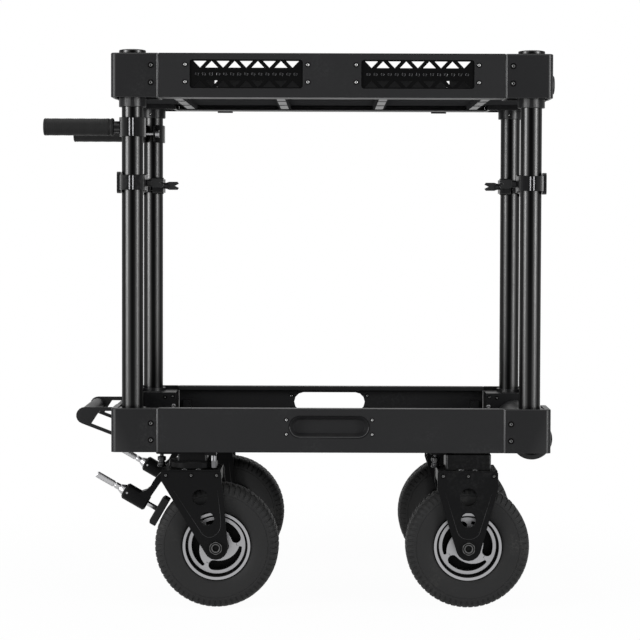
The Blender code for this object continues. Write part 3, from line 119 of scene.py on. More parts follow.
# %% [markdown]
# The photograph looks level along +Y from 4.2 m with a long lens, so its lines stay almost parallel; a
# camera closer by would splay the posts. It tips down by two degrees and rolls a little, and the small
# shift puts the shelves where the photo has them.

# %% Camera
LENS = 110.3
TILT, ROLL = 2.0, 0.18
DISTANCE, EYE_HEIGHT = 4.174, 0.790
SHIFT_X, SHIFT_Y = -11.6 / 640, -36.0 / 640
camera_data = bpy.data.cameras.new("portrait_camera")
camera_data.lens = LENS
camera_data.sensor_width = 36.0
camera_data.shift_x = SHIFT_X
camera_data.shift_y = SHIFT_Y
camera_data.clip_end = 100.0
camera = linked("portrait_camera", camera_data)
camera.location = (MIDDLE, -DISTANCE, EYE_HEIGHT)
camera.rotation_euler = (math.radians(90 - TILT), math.radians(-ROLL), 0)
bpy.context.scene.camera = camera
bpy.context.scene.view_settings.view_transform = "Standard"
print("lens", LENS, "distance", DISTANCE)

# %% [markdown]
# Black metal shows its form by what it reflects. Two tall soft boxes, one at each side in front of
# the cart, draw the pair of light bands that every post shows, and a wide one above lights the lids.
# Small lamps would draw hard dots instead, so each is as large as a real soft box.

# %% Soft boxes
SOFT_BOXES = [
    # name, place, aim, width, height, power in watts
    ("left_softbox", (-2.95, -1.75, 0.9), (0, 0, 0.7), 0.9, 2.8, 84),
    ("right_softbox", (2.7, -2.05, 0.9), (0, 0, 0.7), 0.8, 2.8, 56),
    ("top_softbox", (0.0, -0.4, 3.6), (0, 0, 0.9), 2.4, 1.6, 30),
]
for name, place, aim, width, height, power in SOFT_BOXES:
    lamp = bpy.data.lights.new(name, "AREA")
    lamp.shape = "RECTANGLE"
    lamp.size = width
    lamp.size_y = height
    lamp.energy = power
    holder = linked(name, lamp)
    holder.location = place
    holder.rotation_mode = "QUATERNION"
    holder.rotation_quaternion = (Vector(aim) - Vector(place)).to_track_quat("-Z", "Y")
    holder.visible_camera = False
print("lamps", len(bpy.data.lights))

# %% [markdown]
# Every material below is a small network of shader nodes. Made one line at a time, each node takes four
# or five lines, so two helpers do it: one fills a node's inputs, the other makes the node first.

# %% Helpers for shader nodes
def fill(tree, node, inputs):
    """Fill inputs, by name or number: a socket is linked to the input, anything else is its value."""
    for key, value in inputs.items():
        if isinstance(value, bpy.types.NodeSocket):
            tree.links.new(value, node.inputs[key])
        else:
            node.inputs[key].default_value = value


def add_node(tree, kind, inputs, **settings):
    """New node of the kind, with its own settings made and its inputs filled."""
    made = tree.nodes.new(kind)
    for name, value in settings.items():
        setattr(made, name, value)
    fill(tree, made, inputs)
    return made


def math_node(tree, operation, first, second):
    """Product, maximum or the like of two numbers or sockets."""
    return add_node(tree, "ShaderNodeMath", {0: first, 1: second}, operation=operation).outputs[0]


def smooth_step(tree, value, low, high, bottom=0.0, top=1.0):
    """Smooth way from the bottom to the top while the value goes from low to high."""
    inputs = {"From Min": low, "From Max": high, "To Min": bottom, "To Max": top, "Value": value}
    return add_node(tree, "ShaderNodeMapRange", inputs, interpolation_type="SMOOTHSTEP").outputs[0]


def object_place(tree):
    """Place on the surface in the piece's own metres."""
    return tree.nodes.new("ShaderNodeTexCoord").outputs["Object"]


print("helpers", ", ".join(made.__name__ for made in (fill, add_node, math_node, smooth_step, object_place)))

# %% [markdown]
# The backdrop of the photo is pure white. Camera and mirror rays see a white world of strength 1,
# and the light that the world casts on the cart is lower. The floor does the same, and near the cart it
# keeps a faint shadow that fades out with the distance. A brighter lamp would make the floor white too,
# but it would bleach the cart.

# %% World and floor
WHITE = (1.0, 1.0, 1.0, 1.0)
CAST_COLOUR, CAST_STRENGTH = (0.92, 0.95, 1.0, 1.0), 0.45
FLOOR_COLOUR = (0.86, 0.86, 0.86, 1.0)
FLOOR_REACH = 30.0
FADE_FROM, FADE_TO = 0.55, 1.3
LEAST_WHITE = 0.972


def seen_mask(tree):
    """1 for camera, glossy and transmission rays, made of the Light Path's three outputs."""
    path = tree.nodes.new("ShaderNodeLightPath").outputs
    largest = path["Is Camera Ray"]
    for kind in ("Is Glossy Ray", "Is Transmission Ray"):
        largest = math_node(tree, "MAXIMUM", largest, path[kind])
    return largest


world = bpy.data.worlds.new("white_studio")
world.use_nodes = True
bpy.context.scene.world = world
sky = world.node_tree
sky.nodes.clear()
cast = add_node(sky, "ShaderNodeBackground", {"Color": CAST_COLOUR, "Strength": CAST_STRENGTH})
seen = add_node(sky, "ShaderNodeBackground", {"Color": WHITE})
blend = add_node(sky, "ShaderNodeMixShader", {0: seen_mask(sky), 1: cast.outputs[0], 2: seen.outputs[0]})
add_node(sky, "ShaderNodeOutputWorld", {"Surface": blend.outputs[0]})

floor_mesh = bpy.data.meshes.new("studio_floor")
floor_corners = [(x * FLOOR_REACH, y * FLOOR_REACH, 0) for x, y in ((-1, -1), (1, -1), (1, 1), (-1, 1))]
floor_mesh.from_pydata(floor_corners, [], [(0, 1, 2, 3)])
floor = linked("studio_floor", floor_mesh)
floor_paint = bpy.data.materials.new("floor_paint")
floor_paint.use_nodes = True
tree = floor_paint.node_tree
tree.nodes.clear()
matt = add_node(tree, "ShaderNodeBsdfDiffuse", {"Color": FLOOR_COLOUR})
glow = add_node(tree, "ShaderNodeEmission", {"Strength": 1.0})
away = add_node(tree, "ShaderNodeVectorMath", {0: object_place(tree)}, operation="LENGTH").outputs["Value"]
fading = smooth_step(tree, away, FADE_FROM, FADE_TO, LEAST_WHITE)
share = math_node(tree, "MULTIPLY", seen_mask(tree), fading)
mix = add_node(tree, "ShaderNodeMixShader", {0: share, 1: matt.outputs[0], 2: glow.outputs[0]})
add_node(tree, "ShaderNodeOutputMaterial", {"Surface": mix.outputs[0]})
floor_mesh.materials.append(floor_paint)
print("floor", 2 * FLOOR_REACH, "m wide")

# %% [markdown]
# Four effects return in most finishes, so each is a node group: the fine orange peel of powder coat,
# pale rubbed patches, the dust that settles on faces that look up, and the long lines of drawn tube.
# Picture textures could show the same, but noise in metres fits every piece at its real scale.

# %% Shared effects
# each noise: waves to a metre, detail, roughness; each step: where it starts and where it ends
PEEL_DETAIL, UNEVEN_NOISE = 2.0, (14.0, 3.0)
PATCH_DETAIL, PATCH_STEP = 4.0, (0.52, 0.72)
MARK_NOISE, MARK_STEP = (170.0, 5.0, 0.7), (0.45, 0.62)
DUST_NOISE, DUST_STEP, UPWARD_STEP = (22.0, 6.0, 0.65), (0.35, 0.75), (0.3, 1.0)


def shader_group(name, inputs, outputs):
    """Empty node group with named float inputs and outputs, and its input and output nodes."""
    group = bpy.data.node_groups.new(name, "ShaderNodeTree")
    for title, value in inputs.items():
        socket = group.interface.new_socket(name=title, in_out="INPUT", socket_type="NodeSocketFloat")
        socket.default_value = value
    for title in outputs:
        group.interface.new_socket(name=title, in_out="OUTPUT", socket_type="NodeSocketFloat")
    return group, group.nodes.new("NodeGroupInput").outputs, group.nodes.new("NodeGroupOutput")


def noise(tree, vector, scale, detail, rough=0.5):
    """Noise on the given vector, with so many waves to a metre; scale is a number or a socket."""
    inputs = {"Vector": vector, "Scale": scale, "Detail": detail, "Roughness": rough}
    return add_node(tree, "ShaderNodeTexNoise", inputs).outputs[0]


def split(tree, vector):
    """The X, Y and Z of a vector."""
    return add_node(tree, "ShaderNodeSeparateXYZ", {0: vector}).outputs


def group_grain():
    """Two sizes of noise: the fine peel as a height, and a broad unevenness as a tone."""
    group, given, result = shader_group("coat_grain", {"Scale": 600.0}, ("Height", "Tone"))
    place = object_place(group)
    fine = noise(group, place, given["Scale"], PEEL_DETAIL)
    fill(group, result, {"Height": fine, "Tone": noise(group, place, *UNEVEN_NOISE)})
    return group


def group_rubs():
    """Broad noise that lets fine noise through, so rubs come in patches of small marks."""
    group, given, result = shader_group("rubbed_patches", {"Scale": 9.0, "Amount": 0.5}, ("Mask",))
    place = object_place(group)
    patches = smooth_step(group, noise(group, place, given["Scale"], PATCH_DETAIL), *PATCH_STEP)
    marks = smooth_step(group, noise(group, place, *MARK_NOISE), *MARK_STEP)
    both = math_node(group, "MULTIPLY", patches, marks)
    fill(group, result, {"Mask": math_node(group, "MULTIPLY", both, given["Amount"])})
    return group


def group_dust():
    """Upward share of the normal times a soft noise."""
    group, given, result = shader_group("settled_dust", {"Amount": 0.3}, ("Mask",))
    normal = group.nodes.new("ShaderNodeNewGeometry").outputs["Normal"]
    upward = smooth_step(group, split(group, normal)["Z"], *UPWARD_STEP)
    clouds = smooth_step(group, noise(group, object_place(group), *DUST_NOISE), *DUST_STEP)
    both = math_node(group, "MULTIPLY", upward, clouds)
    fill(group, result, {"Mask": math_node(group, "MULTIPLY", both, given["Amount"])})
    return group


def group_lines():
    """Noise squeezed across one direction, which draws long fine lines along it."""
    group, given, result = shader_group("fine_lines", {"Across": 900.0, "Along": 4.0}, ("Height",))
    surface = split(group, group.nodes.new("ShaderNodeUVMap").outputs["UV"])
    across = math_node(group, "MULTIPLY", surface["X"], given["Across"])
    along = math_node(group, "MULTIPLY", surface["Y"], given["Along"])
    joined = add_node(group, "ShaderNodeCombineXYZ", {"X": across, "Y": along}).outputs[0]
    fill(group, result, {"Height": noise(group, joined, 1.0, PEEL_DETAIL)})
    return group


EFFECTS = {"grain": group_grain(), "rubs": group_rubs(), "dust": group_dust(), "lines": group_lines()}
print("effects", ", ".join(EFFECTS))

# %% [markdown]
# A finish is one Principled shader fed by those effects. Its colours are the coat, the paler tone that
# shows through where hands and cases rub, and the dust; its bump is the grain or the drawn lines. One
# function makes them all, so that a coat differs from the next by its numbers alone.

# %% How a finish is made
DUST_COLOUR = (0.30, 0.29, 0.27)
BUMP_HEIGHT = 0.0004
SMOOTHER, ROUGHER = 0.05, 0.09


def grey(level, blue=0.0):
    """Neutral colour; blue says how far its blue lies above the rest."""
    return (level, level, level + blue)


def effect(tree, name, **values):
    """Node that brings one of the shared effects into a material."""
    return add_node(tree, "ShaderNodeGroup", values, node_tree=EFFECTS[name])


def mixed_colour(tree, mask, first, second):
    """Colour that goes from first to second with the mask; each is a colour or a socket."""
    pair = [(*colour, 1.0) if isinstance(colour, tuple) else colour for colour in (first, second)]
    inputs = {"Factor": mask, 6: pair[0], 7: pair[1]}
    return add_node(tree, "ShaderNodeMix", inputs, data_type="RGBA").outputs[2]


def scaled(tree, mask, low, high):
    """The mask as a number that goes from low to high."""
    return add_node(tree, "ShaderNodeMapRange", {"To Min": low, "To Max": high, "Value": mask}).outputs[0]


def band_mask(tree, bands):
    """1 where the profile's own parameter, V of the UV map, lies in one of the bands (low, high)."""
    surface = split(tree, tree.nodes.new("ShaderNodeUVMap").outputs["UV"])
    steps = add_node(tree, "ShaderNodeValToRGB", {0: surface["Y"]})
    ramp = steps.color_ramp
    ramp.interpolation = "CONSTANT"
    ramp.elements[0].color = (0, 0, 0, 1)
    ramp.elements.remove(ramp.elements[1])
    for low, high in bands:
        ramp.elements.new(low).color = (1, 1, 1, 1)
        ramp.elements.new(high).color = (0, 0, 0, 1)
    return steps.outputs["Color"]


def finish(name, coat, worn, metallic, rough, grain=600.0, bump=0.15, rubs=0.5, dust=0.1, gloss=0.12,
           lines=None, bands=None, bright=None):
    """Material with rubbed patches, dust, uneven roughness and a grain, or drawn lines where they are given.

    Where bands are given, the profile's bands take a bright metal colour in place of the coat: bare
    turned metal on the wheel centres, and painted glints and highlights on screws and nuts."""
    made = bpy.data.materials.new(name)
    made.use_nodes = True
    tree = made.node_tree
    texture = effect(tree, "grain", Scale=grain).outputs
    colour = mixed_colour(tree, effect(tree, "rubs", Amount=rubs).outputs["Mask"], coat, worn)
    colour = mixed_colour(tree, effect(tree, "dust", Amount=dust).outputs["Mask"], colour, DUST_COLOUR)
    if bands:
        mask = band_mask(tree, bands)
        colour = mixed_colour(tree, mask, colour, bright)
        metallic = scaled(tree, mask, metallic, 1.0)
    height = texture["Height"]
    if lines:
        height = effect(tree, "lines", Across=lines[0], Along=lines[1]).outputs["Height"]
    relief = add_node(tree, "ShaderNodeBump", {"Strength": bump, "Distance": BUMP_HEIGHT, "Height": height})
    roughness = scaled(tree, texture["Tone"], rough - SMOOTHER, rough + ROUGHER)
    fill(tree, tree.nodes["Principled BSDF"], {
        "Base Color": colour, "Metallic": metallic, "Roughness": roughness, "Specular IOR Level": gloss,
        "Normal": relief.outputs[0],
    })
    return made


def sheen(coat, steps):
    """Give a material a gloss that depends on how far the surface turns away from the viewer.

    Steps are pairs: one minus the cosine of that angle, and the gloss there."""
    tree = coat.node_tree
    facing = add_node(tree, "ShaderNodeLayerWeight", {"Blend": 0.5}).outputs["Facing"]
    curve = add_node(tree, "ShaderNodeValToRGB", {0: facing})
    curve.color_ramp.interpolation = "EASE"
    stops = curve.color_ramp.elements
    while len(stops) < len(steps):
        stops.new(0.5)
    for stop, (at_facing, gloss) in zip(stops, steps):
        stop.position = at_facing
        stop.color = (*grey(gloss), 1)
    fill(tree, tree.nodes["Principled BSDF"], {"Specular IOR Level": curve.outputs["Color"]})


print("roughness varies by", round(SMOOTHER + ROUGHER, 2), "and the bump is", BUMP_HEIGHT * 1000, "mm high")

# %% [markdown]
# The shelves are powder-coated sheet, their corners smoother castings, the posts black-anodised tube and
# the clamps machined. On tube, castings and clamps the gloss follows the viewing angle, because their
# narrow light bands come from a soft box seen at one angle only. An even gloss would draw them too broad.

# %% The cart's finishes
# name, coat, worn tone, metallic, roughness, then grain, bump, rubs, dust and gloss
POWDER = finish("powder_coat", grey(0.016, 0.0005), grey(0.034, 0.001), 0.0, 0.42, 520.0, 0.10, 0.35, 0.03)
CASTING = finish("coated_casting", grey(0.011, 0.0005), grey(0.04), 0.0, 0.30, 420.0, 0.02, 0.30, 0.02)
STEEL = finish("caster_steel", grey(0.006, 0.0002), grey(0.022), 0.0, 0.36, 480.0, 0.15, 0.40, 0.02, 0.05)
TUBE = finish("anodised_tube", grey(0.0012, 0.0001), grey(0.006), 0.0, 0.30, bump=0.003, rubs=0.2, dust=0.0,
              lines=(500.0, 2.0))
CLAMP = finish("machined_clamp", grey(0.0060, 0.0003), grey(0.05), 0.1, 0.27, 900.0, 0.03, 0.30, 0.02)
# darker than the rails: painted shade on the truss plate, which sits recessed behind the top windows
INNER = finish("shaded_plate", grey(0.0025, 0.0001), grey(0.008), 0.0, 0.5, 500.0, 0.15, 0.3, 0.0, 0.04)
# grey sheet, lighter than the rails: the floor light that the top shelf's underside reflects is painted into
# its colour, and its gloss fades out towards grazing angles
PAN_GREY_AND_REFLECTION = finish("shelf_plate_painted_reflection", grey(0.036, 0.0005), grey(0.050), 0.0, 0.5, 500.0, 0.12, 0.35, 0.06)
ZINC = finish("bright_zinc", grey(0.46, 0.01), (0.22, 0.21, 0.20), 1.0, 0.26, 800.0, 0.08, 0.6, 0.0)
CHROME = finish("chrome_pin", grey(0.15, 0.005), grey(0.10), 1.0, 0.08, 300.0, 0.02, 0.2, 0.0)
DARK = finish("dark_plated_knob", grey(0.030, 0.001), grey(0.20), 0.8, 0.22, 700.0, 0.06, 0.5, 0.0, 0.5)
TYRE = finish("tyre_rubber", grey(0.015), (0.044, 0.043, 0.040), 0.0, 0.60, 900.0, 0.35, 0.9, 0.05, 0.2)
GRIP = finish("grip_rubber", grey(0.0055), grey(0.012), 0.0, 0.55, 1100.0, 0.30, 0.4, 0.03, 0.2)
MOULDED = finish("moulded_plastic", grey(0.010, 0.0005), grey(0.03), 0.0, 0.36, 700.0, 0.12, 0.3, 0.02, 0.25)
# light coat for thin lines: painted highlights on milled rims and on the corners of the bearing housings
HIGHLIGHT_LINE = finish("painted_highlight_line", grey(0.030, 0.001), grey(0.09), 0.4, 0.35, 500.0, 0.10, 0.9, 0.0, 0.4)
# bright metal that paints glints: the hinge knuckles' highlights and the lit arcs round the truss plate's holes
GLINT_METAL = finish("painted_glint_metal", grey(0.30, 0.01), grey(0.16), 0.9, 0.38, 500.0, 0.10, 0.6, 0.02)
# lighter than the castings: painted highlights on rounded edges and on the hand-hold's lower rim
HIGHLIGHT_EDGE = finish("painted_edge_highlight", grey(0.055, 0.001), grey(0.08), 0.1, 0.30, 500.0, 0.04, 0.3, 0.0, 0.5)
STRIP = finish("dull_strip", grey(0.11, 0.003), grey(0.06), 0.9, 0.42, 500.0, 0.10, 0.6, 0.02)
sheen(CASTING, ((0.0, 0.12), (0.011, 0.14), (0.022, 0.8), (0.07, 0.8), (0.12, 0.30), (0.20, 0.12), (1.0, 0.05)))
sheen(TUBE, ((0.0, 0.03), (0.015, 0.10), (0.05, 0.60), (0.12, 1.0), (0.18, 0.70), (0.32, 0.10), (1.0, 0.0)))
sheen(CLAMP, ((0.0, 0.1), (0.02, 0.2), (0.10, 0.7), (0.18, 0.4), (0.40, 0.10), (1.0, 0.03)))
sheen(PAN_GREY_AND_REFLECTION, ((0.0, 0.20), (0.5, 0.12), (0.75, 0.0), (1.0, 0.0)))
print("finishes", len([m for m in bpy.data.materials if m.use_nodes]))

# %% [markdown]
# Sheet metal and castings never have knife edges: a paint film and a small radius catch the light along
# every fold. Each flat CAD solid is copied, its triangles welded, and a bevel rounds its edges. Rounding
# in the shader alone would be quicker, but the outline would stay sharp.

# %% Rounded edges for the folded and cast solids
WELD = 2e-5
FLAT_ENOUGH = math.radians(0.4)
SHARP_FROM = math.radians(35)
HEAD_STANDS, HEAD_LEFT, HEAD_SHRINK = 0.0005, 0.0007, 0.4


def softened(node, edge, coat, segments=2, hub=None):
    """Welded copy of a CAD node with its sharp edges bevelled by the given width; it replaces the node.

    Where a hub is given, the axle's plain heads shrink under the nuts that are added to them later."""
    source = NODES[node]
    shape = bmesh.new()
    shape.from_mesh(source.data)
    bmesh.ops.remove_doubles(shape, verts=shape.verts, dist=WELD)
    bmesh.ops.dissolve_limit(shape, angle_limit=FLAT_ENOUGH, verts=shape.verts, edges=shape.edges)
    for vert in shape.verts if hub is not None else ():
        out = vert.co.y - hub[1]
        if abs(out) > FORK_FACE + HEAD_STANDS:
            flat = hub + (vert.co - Vector(hub)) * HEAD_SHRINK
            vert.co = (flat[0], hub[1] + math.copysign(FORK_FACE + HEAD_LEFT, out), flat[2])
    mesh = bpy.data.meshes.new(f"{node}_finished")
    shape.to_mesh(mesh)
    shape.free()
    if "custom_normal" in mesh.attributes:
        mesh.attributes.remove(mesh.attributes["custom_normal"])
    mesh.materials.clear()
    mesh.materials.append(coat)
    mesh.shade_smooth()
    made = linked(f"{node}_finished", mesh)
    bevel = made.modifiers.new("soft_edges", "BEVEL")
    bevel.width = edge
    bevel.segments = segments
    bevel.limit_method = "ANGLE"
    bevel.angle_limit = SHARP_FROM
    bevel.harden_normals = False
    made.modifiers.new("even_shading", "WEIGHTED_NORMAL").keep_sharp = False
    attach(made, source["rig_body"])
    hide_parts(node)


SHELF_PARTS = [
    # node, width of the rounded edge, finish, slot
    ("bottom_front_rail", 0.0007, POWDER, "steel_black"),
    ("bottom_back_rail", 0.0007, POWDER, "steel_black"),
    ("top_front_rail", 0.0007, POWDER, "steel_black"),
    ("top_back_rail", 0.0007, POWDER, "steel_black"),
    ("top_back_gate", 0.0007, POWDER, "steel_black"),
    ("bottom_pan", 0.0005, POWDER, "steel_black"),
    ("top_pan", 0.0005, PAN_GREY_AND_REFLECTION, "plate_grey"),
    ("top_truss_plate", 0.0004, INNER, "steel_black"),
    ("lift_handle", 0.0009, POWDER, "steel_black"),
]
CORNER_PARTS = [
    ("bottom_corner", 0.0018, CASTING, "cast_black"),
    ("top_corner", 0.0018, CASTING, "cast_black"),
    ("collar", 0.0009, CLAMP, "collar_black"),
    ("collar_screw", 0.0009, MOULDED, "plastic_black"),
    ("caster_head", 0.0009, STEEL, "steel_black"),
]
FORK_EDGE, CLAMP_EDGE, BOLT_EDGE, PAD_EDGE = 0.0008, 0.0009, 0.0006, 0.0062
for node, edge, coat, slot in SHELF_PARTS:
    softened(node, edge, coat)
for place in CORNERS:
    for part, edge, coat, slot in CORNER_PARTS:
        softened(f"{part}_{place}", edge, coat)
    softened(f"caster_fork_{place}", FORK_EDGE, STEEL, hub=wheel_centre(place))
for face in FACES:
    softened(f"push_clamp_{face}", CLAMP_EDGE, CLAMP)
    softened(f"push_bolt_{face}", BOLT_EDGE, ZINC)
    softened(f"brake_pad_left_{face}", PAD_EDGE, GRIP, segments=4)

# %% [markdown]
# Turned parts are surfaces of two parameters: the way along a profile, and the angle round an axis. A
# screw modifier could turn them as well, but a grid of our own also takes knurls, hexagons and windows.
# The helpers below put such grids into a mesh, with a UV map that holds the two parameters.

# %% Grids into meshes
WELD_GRID, NO_LENGTH = 2e-6, 1e-7


def grid_cells(rows, columns, wrap_rows=False):
    """Quads of a grid and their corner parameters: cell (i, j) joins rows i, i+1 and columns j, j+1.

    The columns close up to a ring, and the rows too where they are told to."""
    i, j = np.meshgrid(np.arange(rows - (not wrap_rows)), np.arange(columns), indexing="ij")
    corner_i = np.stack([i, i, i + 1, i + 1], -1).reshape(-1, 4)
    corner_j = np.stack([j, j + 1, j + 1, j], -1).reshape(-1, 4)
    quads = (corner_i % rows) * columns + corner_j % columns
    uv = np.stack([corner_j / columns, corner_i / max(rows - 1, 1)], -1)
    return quads, uv


def row_bands(rows, *pairs):
    """Bands of the UV map's V that lie between pairs of row numbers, in a grid of so many rows."""
    return [(low / (rows - 1), high / (rows - 1)) for low, high in pairs]


def build_piece(name, surfaces, coat, body="cart", stands_for=(), sharp=40.0):
    """One mesh from several (points, quads, uv) surfaces, welded, facing outwards and riding on a body."""
    blocks = [points.reshape(-1, 3) for points, quads, uv in surfaces]
    starts = np.cumsum([0] + [len(block) for block in blocks[:-1]])
    quads = np.concatenate([quads + start for (points, quads, uv), start in zip(surfaces, starts)])
    marks = np.concatenate([uv for points, quads, uv in surfaces])
    mesh = bpy.data.meshes.new(name)
    mesh.from_pydata(np.concatenate(blocks).tolist(), [], quads.tolist())
    layer = mesh.uv_layers.new(name="surface")
    layer.data.foreach_set("uv", marks.reshape(-1).astype(np.float32))
    shape = bmesh.new()
    shape.from_mesh(mesh)
    bmesh.ops.remove_doubles(shape, verts=shape.verts, dist=WELD_GRID)
    bmesh.ops.dissolve_degenerate(shape, edges=shape.edges, dist=NO_LENGTH)
    bmesh.ops.recalc_face_normals(shape, faces=shape.faces)
    shape.to_mesh(mesh)
    shape.free()
    mesh.shade_smooth()
    mesh.set_sharp_from_angle(angle=math.radians(sharp))
    mesh.materials.append(coat)
    made = linked(name, mesh)
    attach(made, body)
    if stands_for:
        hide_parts(*stands_for)
    return made


def eased(corners, radius, steps=3):
    """Profile with round corners.

    Each corner becomes the quadratic curve between the points a radius before and after it."""
    c = np.asarray(corners, float)
    before, after = c[:-2] - c[1:-1], c[2:] - c[1:-1]
    reach_before = np.linalg.norm(before, axis=1, keepdims=True)
    reach_after = np.linalg.norm(after, axis=1, keepdims=True)
    start = c[1:-1] + before / reach_before * np.minimum(radius, 0.45 * reach_before)
    end = c[1:-1] + after / reach_after * np.minimum(radius, 0.45 * reach_after)
    s = np.linspace(0, 1, steps + 1)[None, :, None]
    curve = (1 - s) ** 2 * start[:, None] + 2 * s * (1 - s) * c[1:-1][:, None] + s**2 * end[:, None]
    return np.vstack([c[:1], curve.reshape(-1, 2), c[-1:]])


def axes_of(direction):
    """Unit vectors: one along the direction and two across it."""
    along = np.array(Vector(direction).normalized())
    across = np.array(Vector(direction).orthogonal().normalized())
    if abs(along[1]) > 0.9:
        across = np.array([1.0, 0.0, 0.0])
    return along, across, np.cross(along, across)


def turned(profile, centre, direction, steps=64, closed=False):
    """Rows of (radius, height) turned about an axis: centre + height * axis + radius * circle(angle).

    A row's radius is one number, or has a value for each angle where the row isn't a circle."""
    along, across, third = axes_of(direction)
    angle = np.linspace(0, 2 * np.pi, steps, endpoint=False)
    radius = np.array([np.broadcast_to(r, steps) for r, h in profile])
    height = np.array([h for r, h in profile], float)
    circle = np.cos(angle)[:, None] * across + np.sin(angle)[:, None] * third
    points = np.asarray(centre, float) + height[:, None, None] * along + radius[:, :, None] * circle[None]
    return (points, *grid_cells(len(profile), steps, wrap_rows=closed))


print("a turned test ring has", len(turned([(1, 0), (2, 0)], (0, 0, 0), UP)[1]), "quads")

# %% [markdown]
# The posts are drawn and black-anodised tubes under round caps. A tube reflects a soft box as one even
# band, which smooth shading alone doesn't give on the CAD solid's facets. So each post is turned again,
# with 96 steps round and a slightly domed cap with a rounded rim.

# %% Posts and caps
TUBE_R, TUBE_BORE = 0.0215, 0.0190
CAP_R, CAP_SEAT = 0.0268, 1.1123
CAP_FLAT, CAP_DOME, CAP_RIM = 0.006, 0.0004, 0.0015
for place in CORNERS:
    middle, low, high = box_middle(f"post_{place}")
    top = high.z - 0.0002
    cap = [(0, top), (CAP_R - CAP_FLAT, top - CAP_DOME), (CAP_R, top - CAP_RIM), (CAP_R, CAP_SEAT)]
    inner = [(TUBE_R, CAP_SEAT), (TUBE_R, low.z), (TUBE_BORE, low.z), (TUBE_BORE, CAP_SEAT), (0, CAP_SEAT)]
    surface = turned(eased(cap + inner, 0.0016, 4), (middle.x, middle.y, 0), UP, 96)
    build_piece(f"post_tube_{place}", [surface], TUBE, "cart", [f"post_{place}"], 50)
print("posts reach", round(top, 4), "m")

# %% [markdown]
# The tyres are solid rubber with a blocky tread. Separate blocks on a ring would need hundreds of seams.
# Here one grid makes each tyre: its rows follow the section from bead to bead, its columns go round, and
# the radius drops where a groove runs. The columns bunch up at the grooves' edges and lean with the row,
# so that every block has crisp slanted sides.

# %% Tyres
LUGS = 64
LUG_STATIONS = np.array([0.0, 0.30, 0.60, 0.66, 0.94])
GROOVE_FROM = 0.63
BLOCK_DEPTH = 0.0020
SHOULDER_R = 0.1215


def tyre_section():
    """Rows of (radius, offset, groove depth, lean): half a section, mirrored, and the inner face on the rim."""
    half = np.array([
        # radius, offset from the middle plane, depth of the cross grooves, lean in lug pitches
        [0.0690, 0.0300, 0.0, 0.0],
        [0.0715, 0.0335, 0.0, 0.0],
        [0.0760, 0.0360, 0.0, 0.0],
        [0.0860, 0.0385, 0.0, 0.0],
        [0.0960, 0.0397, 0.0, 0.0],
        [0.1030, 0.0398, 0.0, 0.0],
        [0.1036, 0.0391, 0.0, 0.0],
        [0.1046, 0.0391, 0.0, 0.0],
        [0.1052, 0.0397, 0.0, 0.0],
        [0.1085, 0.0392, 0.0, 0.0],
        [0.1092, 0.0390, 0.4, 0.0],
        [0.1130, 0.0382, 1.0, 0.0],
        [0.1165, 0.0366, 1.0, 0.05],
        [0.1200, 0.0336, 1.0, 0.10],
        [0.1226, 0.0296, 0.8, 0.16],
        [0.1238, 0.0256, 0.6, 0.22],
        [0.1222, 0.0250, 0.0, 0.24],
        [0.1222, 0.0230, 0.0, 0.28],
        [0.1242, 0.0224, 0.6, 0.30],
        [0.1248, 0.0160, 0.6, 0.46],
        [0.1249, 0.0112, 0.6, 0.58],
        [0.1230, 0.0104, 0.0, 0.60],
        [0.1230, 0.0082, 0.0, 0.64],
        [0.1250, 0.0074, 0.6, 0.66],
        [0.1250, 0.0000, 0.6, 0.86],
    ])
    other = half[-2::-1].copy()
    other[:, 1] *= -1
    inside = np.array([[0.0690, -0.0150, 0.0, 0.0], [0.0690, 0.0150, 0.0, 0.0]])
    return np.vstack([half, other, inside])


def tyre_surface(centre, side):
    """Ring grid: angle = lug stations leaning with the row, radius = the section's less the groove in a gap."""
    rows = tyre_section()
    station = (np.arange(LUGS)[:, None] + LUG_STATIONS).reshape(-1)
    gap = np.tile(LUG_STATIONS > GROOVE_FROM, LUGS).astype(float)
    angle = (station[None, :] + rows[:, 3:4]) * (2 * np.pi / LUGS)
    cut = BLOCK_DEPTH * rows[:, 2:3] * gap[None, :]
    radius = np.minimum(rows[:, :1], TREAD_R) - cut
    inward = np.sign(rows[:, 1:2]) * cut * (rows[:, :1] < SHOULDER_R) * 0.5
    offset = rows[:, 1:2] * np.ones_like(radius) - inward
    points = centre + np.stack([radius * np.cos(angle), side * offset, radius * np.sin(angle)], -1)
    return (points, *grid_cells(len(rows), len(station), wrap_rows=True))


for place, end, face in PLACES:
    surface = tyre_surface(wheel_centre(place), face)
    made = build_piece(f"treaded_tyre_{place}", [surface], TYRE, f"wheel_{place}",
                       [f"tyre_{place}"], 38)
print("tyre quads", len(made.data.polygons), "tread radius", round(TREAD_R, 4))

# %% [markdown]
# The wheel centre is turned aluminium with three comma windows. A boolean could cut them, but its edges
# would be ragged. Here the grid is a section turned about the axle, and two of its rows follow the inner
# and the outer edge of the windows. The cells between them are left out where a window is, and walls join
# the front edges to the back ones. Only the faces that a lathe has turned are bright. Seen through the
# windows the wheel is dark inside, and a thin dark dish closes them at the back to paint that shade.

# %% Wheel centres
WINDOW_R = 0.0505
NARROW_R, NARROW_AT = 0.0028, math.radians(-6.0)
FAT_R, FAT_AT = 0.0094, math.radians(-100.0)
WINDOW_STEPS, SOLID_STEPS = 41, 6
RIM_TURN = {-1: 0.0, 1: -36.0}


